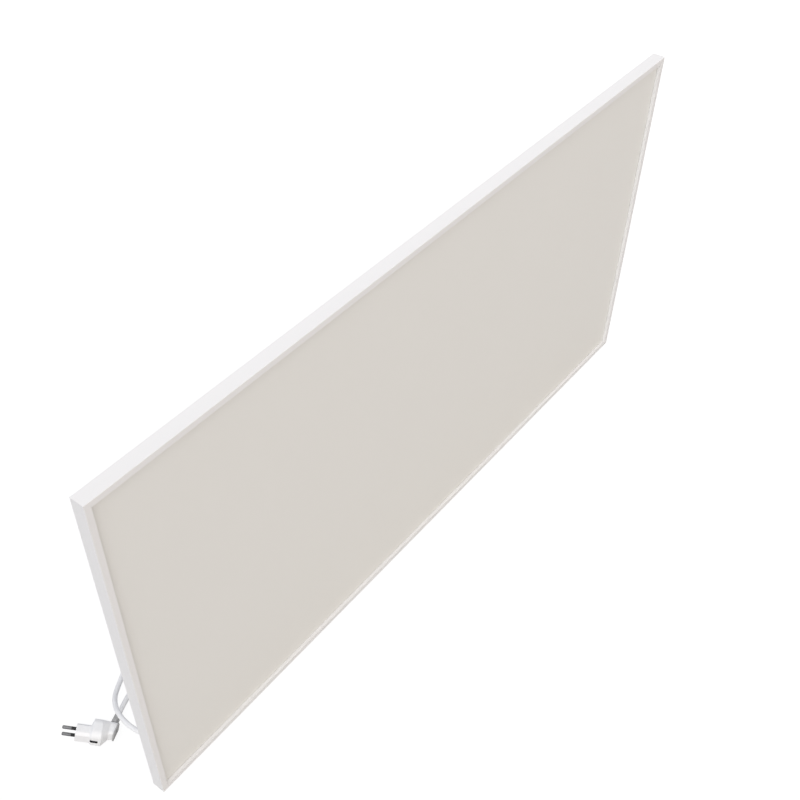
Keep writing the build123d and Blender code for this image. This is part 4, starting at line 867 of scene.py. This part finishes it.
grip = block("plug_grip", (19.2, 23.8, 1.8), (-8.8, 0, -0.9))
edit(grip)
round_edges(grip, along(Z, 1), 3.6, 5)
slice_at([-RIDGED_HALF + RIDGE_PITCH * i for i in range(13)], Y)
print("ridges on the grip:", pick(grip, on_ridge))
bpy.ops.mesh.inset(thickness=0.15 * MM, use_individual=True)
bpy.ops.transform.translate(value=(0, 0, -0.5 * MM))
close()
soften(grip, 0.2, 2)
grip_frame = shift(z=-WAIST_END) @ spin(-GRIP_LEAN, "Y")
# The grip is coloured grey as painted shade for its rear.
dress(settle(grip, lay_down @ grip_frame), grip_shade_grey, "relief_plastic", "plug_rear_shell")

# %% [markdown]
# ### Pins
#
# Two round pins with rounded tips. Near the plug each has a thin black sleeve, so that no live
# metal can be touched while the plug is half in.

# %% Pins and sleeves
PIN_RADIUS, PIN_LENGTH, SLEEVE_LENGTH, PIN_OFFSET = 2.4, 19.0, 6.5, 9.5
pin = bar("plug_pin", PIN_RADIUS, SLEEVE_LENGTH, PIN_LENGTH)
edit(pin)
round_edges(pin, above(PIN_LENGTH - 0.1), 1.5, 5)
draw_shank(pin, 0.38, 20.5)
close()
pin_places = [lay_down @ Matrix.Translation((0, side * PIN_OFFSET * MM, 0)) for side in (1, -1)]
dress(shade(repeat(pin, pin_places, "pins"), 40.0), pin_metal, "plated_pins", "plug_pins")
sleeve = bar("pin_sleeve", PIN_RADIUS, 0.0, SLEEVE_LENGTH)
edit(sleeve)
sink(sleeve, lambda face: abs(face.normal.z) > 0.9, 0.36, 0.0, True)
pick(sleeve, lambda face: abs(face.normal.z) > 0.9 and len(face.verts) > 8)
bpy.ops.mesh.bridge_edge_loops()
round_edges(
    sleeve, lambda a, b: min(a.z, b.z) > 6.4 and min(a.xy.length, b.xy.length) > 2.3, 0.15, 2
)
close()
sleeves = shade(repeat(sleeve, pin_places, "sleeves"), 40.0)
dress(sleeves, sleeve_black, "sleeve_plastic", "pin_sleeves")

# %% [markdown]
# ## Bend reliefs
#
# Where the cord enters the plug and the gland, a tapered sleeve keeps it from kinking. Its rings
# are cut so that it bends evenly, and short bars join them, first on one pair of sides and then
# on the other. One function makes both, because they differ only in size.


# %% Ringed sleeves
def relief(name, base, tip, length, seat=0.0, rings=6, depth=0.9):
    """A tapered sleeve along z with cut rings, whose first stretch sits in its hole."""
    sleeve = bar(name, base, 0.0, length, tip)
    edit(sleeve)
    ring = (length - seat) / (2 * rings + 1)
    cuts = [seat + ring * (i + 1) for i in range(2 * rings)]
    slice_at(cuts)
    for i in range(rings):
        low, high = cuts[2 * i], cuts[2 * i + 1]
        barred = i % 2

        def in_cut(face):
            """A test for the ring's outer faces, without the two bars."""
            around = low < centre(face).z < high and abs(face.normal.z) < 0.5
            return around and abs(face.normal[barred]) < 0.93

        sink(sleeve, in_cut, 0.0, depth)
    round_edges(sleeve, above(length - 0.01), 0.5, 2)
    close()
    return shade(sleeve, 35.0)


plug_relief = relief("plug_relief", 5.6, 4.6, RELIEF_SEAT + RELIEF_LENGTH, RELIEF_SEAT)
relief_place = lay_down @ lead_frame @ shift(z=seat_start)
dress(settle(plug_relief, relief_place), relief_grey, "relief_plastic", "plug_bend_relief")


def gland_frame(x):
    """Axes on the gland's line, z pointing out of the box to the panel's left."""
    return shift(x, *GLAND_TIP[1:]) @ spin(-90, "Y")


BOX_WALL, NUT_START, NUT_END = -480.0, -485.0, -497.0
gland_relief = relief("gland_relief", 6.6, 4.7, 22.0)
dress(settle(gland_relief, gland_frame(NUT_END)), gland_grey, "gland_plastic", "gland_bend_relief")

# %% [markdown]
# ## The cable gland
#
# The gland's body is a hexagon for a spanner, with a round neck that goes into the nut's bore. The
# dome nut is tightened by hand or with a second spanner, so it has flutes. They are every other
# face of a round bar, lowered.

# %% Body and neck
body = bar("gland_hexagon", 11.0 / cos(pi / 6), 0.0, 5.0, sides=6)
edit(body)
round_edges(body, along(Z, 3), 0.8)
round_edges(body, above(4.9), 0.6, 2)
close()
carve(body, bar("gland_neck", 6.8, 2.0, 11.0, sides=32), "UNION")
body_place = gland_frame(BOX_WALL) @ spin(30, "Z")
dress(shade(settle(body, body_place)), gland_grey, "gland_plastic", "gland_body")

# %% Dome nut
NUT_SIDES, FLUTE_LOW, FLUTE_HIGH = 40, 1.2, 8.0


def on_flute(face):
    """A test for every other face in the nut's fluted band."""
    middle = centre(face)
    face_number = round(atan2(middle.y, middle.x) / (2 * pi / NUT_SIDES) - 0.5)
    return FLUTE_LOW < middle.z < FLUTE_HIGH and face_number % 2 == 0


dome = bar("gland_dome", 9.6, 0.0, 12.0, sides=NUT_SIDES)
edit(dome)
round_edges(dome, above(11.9), 2.6, 5)
slice_at((FLUTE_LOW, FLUTE_HIGH))
print("flutes on the dome nut:", sink(dome, on_flute, 0.18, 0.6, True))
round_edges(dome, lambda a, b: max(a.z, b.z) < 0.1, 0.4, 2)
close()
carve(dome, bar("gland_bore", 7.0, -2.0, 7.0, sides=32))
dress(shade(settle(dome, gland_frame(NUT_START))), gland_grey, "gland_plastic", "gland_dome_nut")

# %% [markdown]
# ## Screws and rivets
#
# The cover is held by pan-head screws with a cross recess. A screw starts as a short bar: its rim
# is rounded, its underside inset and extruded into the shank, and a cross is cut into the head.
# No two screws stop at the same angle. The blind rivets are domes with a dimple where the pin broke
# off.


# %% One screw
def screw(head, height, shank, length):
    """A pan-head screw with its seat at z = 0 and its shank below."""
    piece = bar("screw", head, 0.0, height, sides=20)
    edit(piece)
    round_edges(piece, above(height - 0.01), height * 0.45)
    draw_shank(piece, head - shank, length)
    bpy.ops.transform.resize(value=(0.6, 0.6, 1.0), center_override=(0, 0, -length * MM))
    close()
    long, thin = head * 1.25, head * 0.3
    for size in ((long, thin, height), (thin, long, height)):
        carve(piece, block("cross_cutter", size, (0, 0, height * 0.85)))
    return shade(piece)


# %% Places of the screws
FRAME_FRONT = -26.0
COVER_REAR, FOOT_REAR, LID_REAR, FLANGE_REAR = 18.8, 22.0, 50.2, 50.8


def rear_place(x, z, depth):
    """A place on the back, this far behind the front of the frame, with z pointing to the rear."""
    return shift(x, depth + FRAME_FRONT, z) @ spin(-90, "X")


def spread(low, high, count):
    """Evenly spaced places from low to high."""
    return [low + (high - low) * i / (count - 1) for i in range(count)]


# lines of screws, and the box's middle
BOTTOM, TOP, END, CORNER = 6.7, 593.3, 593.3, 568.0
BOX_X, BOX_Z = -430.0, 52.0
cover_points = [(x, z) for x in spread(-505, 505, 7) for z in (BOTTOM, TOP)]
cover_points += [(x, z) for z in spread(95, 505, 3) for x in (-END, END)]
corner_points = []
for side in (-1, 1):
    for near, far in ((BOTTOM, 32.0), (TOP, CORNER)):
        corner_points += [(side * CORNER, near), (side * END, far)]
post_points = [(BOX_X + x, BOX_Z + z) for x in (-43.5, 43.5) for z in (-25.5, 25.5)]
on_cover = [rear_place(x, z, COVER_REAR) for x, z in cover_points]
on_corners = [rear_place(x, z, COVER_REAR) for x, z in corner_points]
on_lid = [rear_place(x, z, LID_REAR) for x, z in post_points]
in_shell = [lay_down @ shift(z=-2.6) @ Matrix.Rotation(0.4, 4, "Z")]
for name, places, size, node in (
    ("cover_fixings", on_cover, (3.3, 1.6, 1.7, 6.5), "cover_screws"),
    ("corner_fixings", on_corners, (3.3, 1.6, 1.7, 6.5), "corner_screws"),
    ("lid_fixings", on_lid, (2.6, 1.2, 1.4, 11.6), "lid_screws"),
    ("shell_fixing", in_shell, (2.5, 1.6, 1.5, 11.4), "plug_shell_screw"),
):
    places = [place @ spin(37 * i % 90, "Z") for i, place in enumerate(places)]
    dress(repeat(screw(*size), places, name), screw_metal, "screw_steel", node)

# %% Rivets
BRACKETS = {
    level + "_" + side: (x, z)
    for level, z in (("lower", 150), ("upper", 490))
    for side, x in (("left", -420), ("right", 420))
}
rivet = bar("rivet", 4.0, 0.0, 1.2)
edit(rivet)
round_edges(rivet, above(1.1), 0.9, 4)
for rim, depth in ((1.7, 0.0), (0.15, 0.5)):
    sink(rivet, lambda face: face.normal.z > 0.99 and len(face.verts) > 6, rim, depth)
draw_shank(rivet, 2.0, 3.2)
close()
rivet_places = [
    rear_place(x + offset, z + 12, FOOT_REAR) for x, z in BRACKETS.values() for offset in (-20, 20)
]
rivets = repeat(shade(rivet), rivet_places, "rivets")
dress(rivets, rivet_metal, "rivet_aluminium", "bracket_rivets")

# %% [markdown]
# ## Hanger brackets
#
# Each bracket is one strip of 2 mm sheet, folded twice: a foot on the cover, a web outwards and a
# flange against the wall. It is modelled as it is made, flat first: a plane is extruded along the
# folds, the folds are rounded, and only then does the sheet get its thickness and its holes.


# %% Fold and punch a bracket
def bracket(name, hole_side):
    """A bracket at x = 0 with its web's underside at z = 0, and the round hole on one side."""
    bpy.ops.mesh.primitive_plane_add(
        size=1.0, location=(0, -5.0 * MM, 12.5 * MM), rotation=(radians(90), 0, 0)
    )
    piece = started(name)
    piece.scale = (62.0 * MM, 23.0 * MM, 1.0)
    settle(piece)
    edit(piece)
    pick(piece, lambda edge: max(end.z for end in ends(edge)) < 1.1, "edges")
    bpy.ops.mesh.extrude_region_move(TRANSFORM_OT_translate={"value": (0, 28.8 * MM, 0)})
    bpy.ops.mesh.extrude_region_move(TRANSFORM_OT_translate={"value": (0, 0, 34.9 * MM)})
    round_edges(piece, lambda a, b: abs(a.x - b.x) > 60 and max(a.z, b.z) < 1.1, 3.0, 6)
    pick(piece, lambda vert: vert.co.z > 35.0 * MM, "verts")
    bpy.ops.mesh.bevel(offset=5.0 * MM, segments=6, affect="VERTICES")
    close()
    modify(piece, "SOLIDIFY", thickness=2.0 * MM, offset=0.0)
    # the key-hole's two ends, the round hole, and the key-hole's slot
    for radius, x, z in ((5.5, 0, 13.0), (2.8, 0, 23.0), (2.75, 21.0 * hole_side, 18.0)):
        place = shift(x, 15.0, z) @ spin(-90, "X")
        carve(piece, settle(bar("punch", radius, 0, 20.0, sides=32), place))
    carve(piece, block("punch", (5.6, 20.0, 10.0), (0, 25.0, 18.0)))
    return soften(piece, 0.3, 2, 40.0)


for place, (x, z) in BRACKETS.items():
    made = bracket("bracket_" + place, 1 if x > 0 else -1)
    settle(made, shift(x, 0, z))
    dress(made, zinc, "zinc_steel", "hanger_bracket_" + place)


# %% Rubber buffers with three ribs
def on_rib(face):
    """A test for the three strips of a buffer's top that rise as ribs."""
    middle = centre(face)
    near_rib = any(abs(middle.x - x) < 0.5 for x in (-2.4, 0, 2.4))
    return face.normal.z > 0.9 and abs(middle.y) < 9 and near_rib


pad = block("buffer", (12.0, 24.0, 0.8), (0, 0, 0.4))
edit(pad)
round_edges(pad, along(Z, 0.5), 3.0, 5)
sink(pad, lambda face: face.normal.z > 0.9, 1.2, 0.0)
slice_at((-3.0, -1.8, -0.6, 0.6, 1.8, 3.0), X)
push(pad, on_rib, z=0.4)
close()
soften(pad, 0.15, 2)
pad_places = [
    rear_place(x + (-21 if x > 0 else 21), z + 18, FLANGE_REAR) for x, z in BRACKETS.values()
]
dress(repeat(pad, pad_places, "buffers"), pad_grey, "grey_rubber", "bracket_pads")

# %% [markdown]
# ## The terminal box's lid
#
# The lid is a shallow cap with round corners and a soft rim. Its middle is set down by half a
# millimetre, which stiffens it and leaves a border for the screws, and its underside is hollow.

# %% Lid
lid = block("box_cap", (100.0, 3.6, 64.0), (BOX_X, 22.4, BOX_Z))
edit(lid)
round_edges(lid, along(Y, 3), 6.0, 6)
round_edges(lid, above(24.19, Y), 1.2, 4)
close()
for size, depth, corner in (((76.0, 2.0, 40.0), 24.65, 5.0), ((80.0, 1.8, 58.0), 21.5, 4.0)):
    pocket = block("pocket", size, (BOX_X, depth, BOX_Z))
    edit(pocket)
    round_edges(pocket, along(Y, 1.5), corner, 6)
    close()
    carve(lid, pocket)
dress(soften(lid, 0.25, 2, 35.0), box_white, "box_plastic", "terminal_box_lid")

# %% [markdown]
# ## The coil's tie
#
# A flat strap holds the turns together. It starts as a box round the coil, is rounded over the
# cords and opened at both ends, and gets its thickness inwards. The head is a small slotted block.

# %% Strap and head
STRAP_X, STRAP_Y, STRAP_Z = -345.825, COIL_CENTRE[1], 9.15
strap = block("strap", (26.6, 6.0, 18.1), (STRAP_X, STRAP_Y, STRAP_Z))
edit(strap)
round_edges(strap, along(Y, 5), 4.6, 6)
pick(strap, lambda face: abs(face.normal.y) > 0.9)
bpy.ops.mesh.delete(type="FACE")
close()
modify(strap, "SOLIDIFY", thickness=1.0 * MM, offset=-1.0)
soften(strap, 0.2, 2)
head = block("strap_head", (4.2, 5.4, 5.0), (STRAP_X + 14.2, STRAP_Y, STRAP_Z))
edit(head)
sink(head, lambda face: face.normal.x > 0.9, 1.1, 0.8)
close()
soften(head, 0.4, 2)
dress(fuse([strap, head], "coil_strap"), tie_white, "tie_plastic", "coil_tie")

# %% [markdown]
# ## The frame's rails
#
# The four rails keep the extrusion's real section. Only their edges change: paint never sits on a
# razor edge, so each is rounded by a tenth of a millimetre or so, and the mitres show as hairlines.

# %% Rails with softened edges
SIDES = ("top", "bottom", "left", "right")
for side in SIDES:
    rail = copy_of("frame_rail_" + side, "rail_" + side)
    soften(rail, 0.14, 2, 35.0)
    dress(rail, frame_white, "white_paint", "frame_rail_" + side)

# %% [markdown]
# ## Finishes for the CAD solids
#
# Solids whose shape is already right keep it and only take a finish. Each finish lists its nodes,
# so the whole heater can be read here as a parts list by material.

# %% Paint the solids
finish_of = {
    frame_white: ["frame_rail_" + side for side in SIDES],
    plate_white: ("front_plate",),
    gasket_white: ("plate_gasket",),
    pad_grey: ("bracket_pads", "cable_grommet", "gland_seal"),
    zinc: ["corner_keys", "ring_terminal"] + ["hanger_bracket_" + place for place in BRACKETS],
    screw_metal: (
        "corner_screws", "cover_screws", "box_mounting_screws", "lid_screws",
        "clamp_screws", "terminal_screws", "plug_shell_screw",
    ),
    rivet_metal: ("bracket_rivets",),
    cover_metal: ("back_cover",),
    film_amber: ("front_insulating_film", "rear_insulating_film"),
    carbon_ink: ("carbon_strips",),
    copper: ("busbars",),
    brass: ("busbar_terminals", "earth_stud", "earth_nut", "terminal_inserts"),
    foil: ("reflector_foil",),
    fibre_board: ("insulation_board",),
    cutout_brown: ("thermal_cutouts",),
    wire_brown: ("live_wire",),
    wire_blue: ("neutral_wire",),
    wire_earth: ("earth_wire",),
    core_grey: ("cord_cores",),
    box_white: ("terminal_box_base", "terminal_box_lid", "clamp_saddle", "cord_clamp"),
    block_cream: ("terminal_block",),
    gland_grey: ("gland_body", "gland_locknut", "gland_dome_nut", "gland_bend_relief"),
    sheath_white: ("cord_tail", "cord_to_coil", "cord_coil", "cord_to_plug"),
    tie_white: ("coil_tie",),
    plug_white: ("plug_front_shell", "plug_rear_shell"),
    relief_grey: ("plug_bend_relief",),
    pin_metal: ("plug_pins", "plug_earth_strips"),
    sleeve_black: ("pin_sleeves",),
}
painted = set()
for material, names in finish_of.items():
    for name in names:
        nodes[name].data.materials.clear()
        nodes[name].data.materials.append(material)
        painted.add(name)
print("solids without a finish:", sorted(set(nodes) - painted))

cord.data.materials.append(sheath_white)
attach(cord, "root")
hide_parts("cord_to_coil", "cord_coil", "cord_to_plug")

# %% [markdown]
# ## The studio
#
# The photograph is a cut-out on pure white, with light from all round: the top is brightest, the
# left end a little darker, and the front faintly warm. The floor is pale. To the camera it glows up
# to white, the more the further away, so only faint shadows by the heater remain.

# %% Floor
FLOOR_PALE, FLOOR_GLOW = 0.606, 1.2
fade = {"From Min": 0.9, "From Max": 2.5, "To Min": 0.75, "To Max": 1.0}
bpy.ops.mesh.primitive_plane_add(size=14.0, location=(0, 0, -0.0002))
floor = started("studio_floor")
floor_paint = bpy.data.materials.new("studio_floor")
ground = Patch(floor_paint)
ground.tree.nodes.clear()
pale = ground.node("BsdfDiffuse", {"Color": (FLOOR_PALE, FLOOR_PALE, FLOOR_PALE, 1.0)})
glow = ground.node("Emission", {"Strength": FLOOR_GLOW})
spot = ground.node("TexCoord", output="Object")
away = ground.node("VectorMath", {0: spot}, "Value", operation="LENGTH")
share = ground.node("MapRange", {"Value": away, **fade})
seen = ground.node("MixShader", {0: share, 1: pale, 2: glow})
ground.show("OutputMaterial", ground.node("LightPath", output="Is Camera Ray"), pale, seen)
floor.data.materials.append(floor_paint)
print("floor in m:", floor.dimensions[:2])

# %% [markdown]
# ### The sky
#
# An even, slightly cool sky gives part of the light, with more of it from the left, from behind
# and, faintly warm, from the front. The camera, and what shines or is seen through, sees white.

# %% Sky: white to the camera, soft light to the object
SKY_EVEN = (0.215, 0.225, 0.27)
SKY_FRONT = (0.503, 0.393, 0.255)
SKY_LEFT = (0.464, 0.465, 0.461)
SKY_BACK = (0.537, 0.537, 0.537)
world = bpy.data.worlds.new("studio_light")
bpy.context.scene.world = world
air = Patch(world)
air.tree.nodes.clear()
direction = air.node("TexCoord", output="Generated")


def lobe(colour, axis, sign):
    """Light that grows towards one direction."""
    height = air.node("SeparateXYZ", {0: direction}, axis)
    share = air.node("Math", {0: height, 1: sign}, operation="MULTIPLY", use_clamp=True)
    return air.node("Background", {"Color": (*colour, 1.0), "Strength": share})


sky = air.node("Background", {"Color": (*SKY_EVEN, 1.0)})
lobes = ((SKY_FRONT, "Y", -1.0), (SKY_LEFT, "X", -1.0), (SKY_BACK, "Y", 1.0))
for colour, axis, sign in lobes:
    sky = air.node("AddShader", {0: sky, 1: lobe(colour, axis, sign)})
white = air.node("Background", {"Color": (1.0, 1.0, 1.0, 1.0)})
seen = air.node("LightPath", output="Is Camera Ray")
for kind in ("Is Transmission Ray", "Is Glossy Ray"):
    seen = seen.math("MAXIMUM", seen, air.node("LightPath", output=kind))
air.show("OutputWorld", seen, sky, white)
print("lobes in the sky:", len(lobes))

# %% [markdown]
# ### The lamps
#
# A very wide sun from the front left models the forms, and a large soft box hangs overhead.


# %% Soft box and key light
def lamp(name, kind, power, way, place=(0, 0, 0), **settings):
    """A lamp that looks along a direction."""
    light = bpy.data.lights.new(name, kind)
    light.energy = power
    for key, value in settings.items():
        setattr(light, key, value)
    holder = bpy.data.objects.new(name, light)
    holder.location = place
    holder.rotation_euler = Vector(way).to_track_quat("-Z", "Y").to_euler()
    link(holder)
    print(name, "power:", power)


BOX_PLACE, BOX_AIM = Vector((0.1, -0.3, 3.4)), Vector((0, 0, 0.3))
lamp("overhead_soft_box", "AREA", 33.8, BOX_AIM - BOX_PLACE, BOX_PLACE, shape="SQUARE", size=3.0)
lamp("key_light", "SUN", 1.06, (0.756, 0.62, -0.64), angle=radians(70))

# %% Colours as they are written
bpy.context.scene.view_settings.view_transform = "Standard"
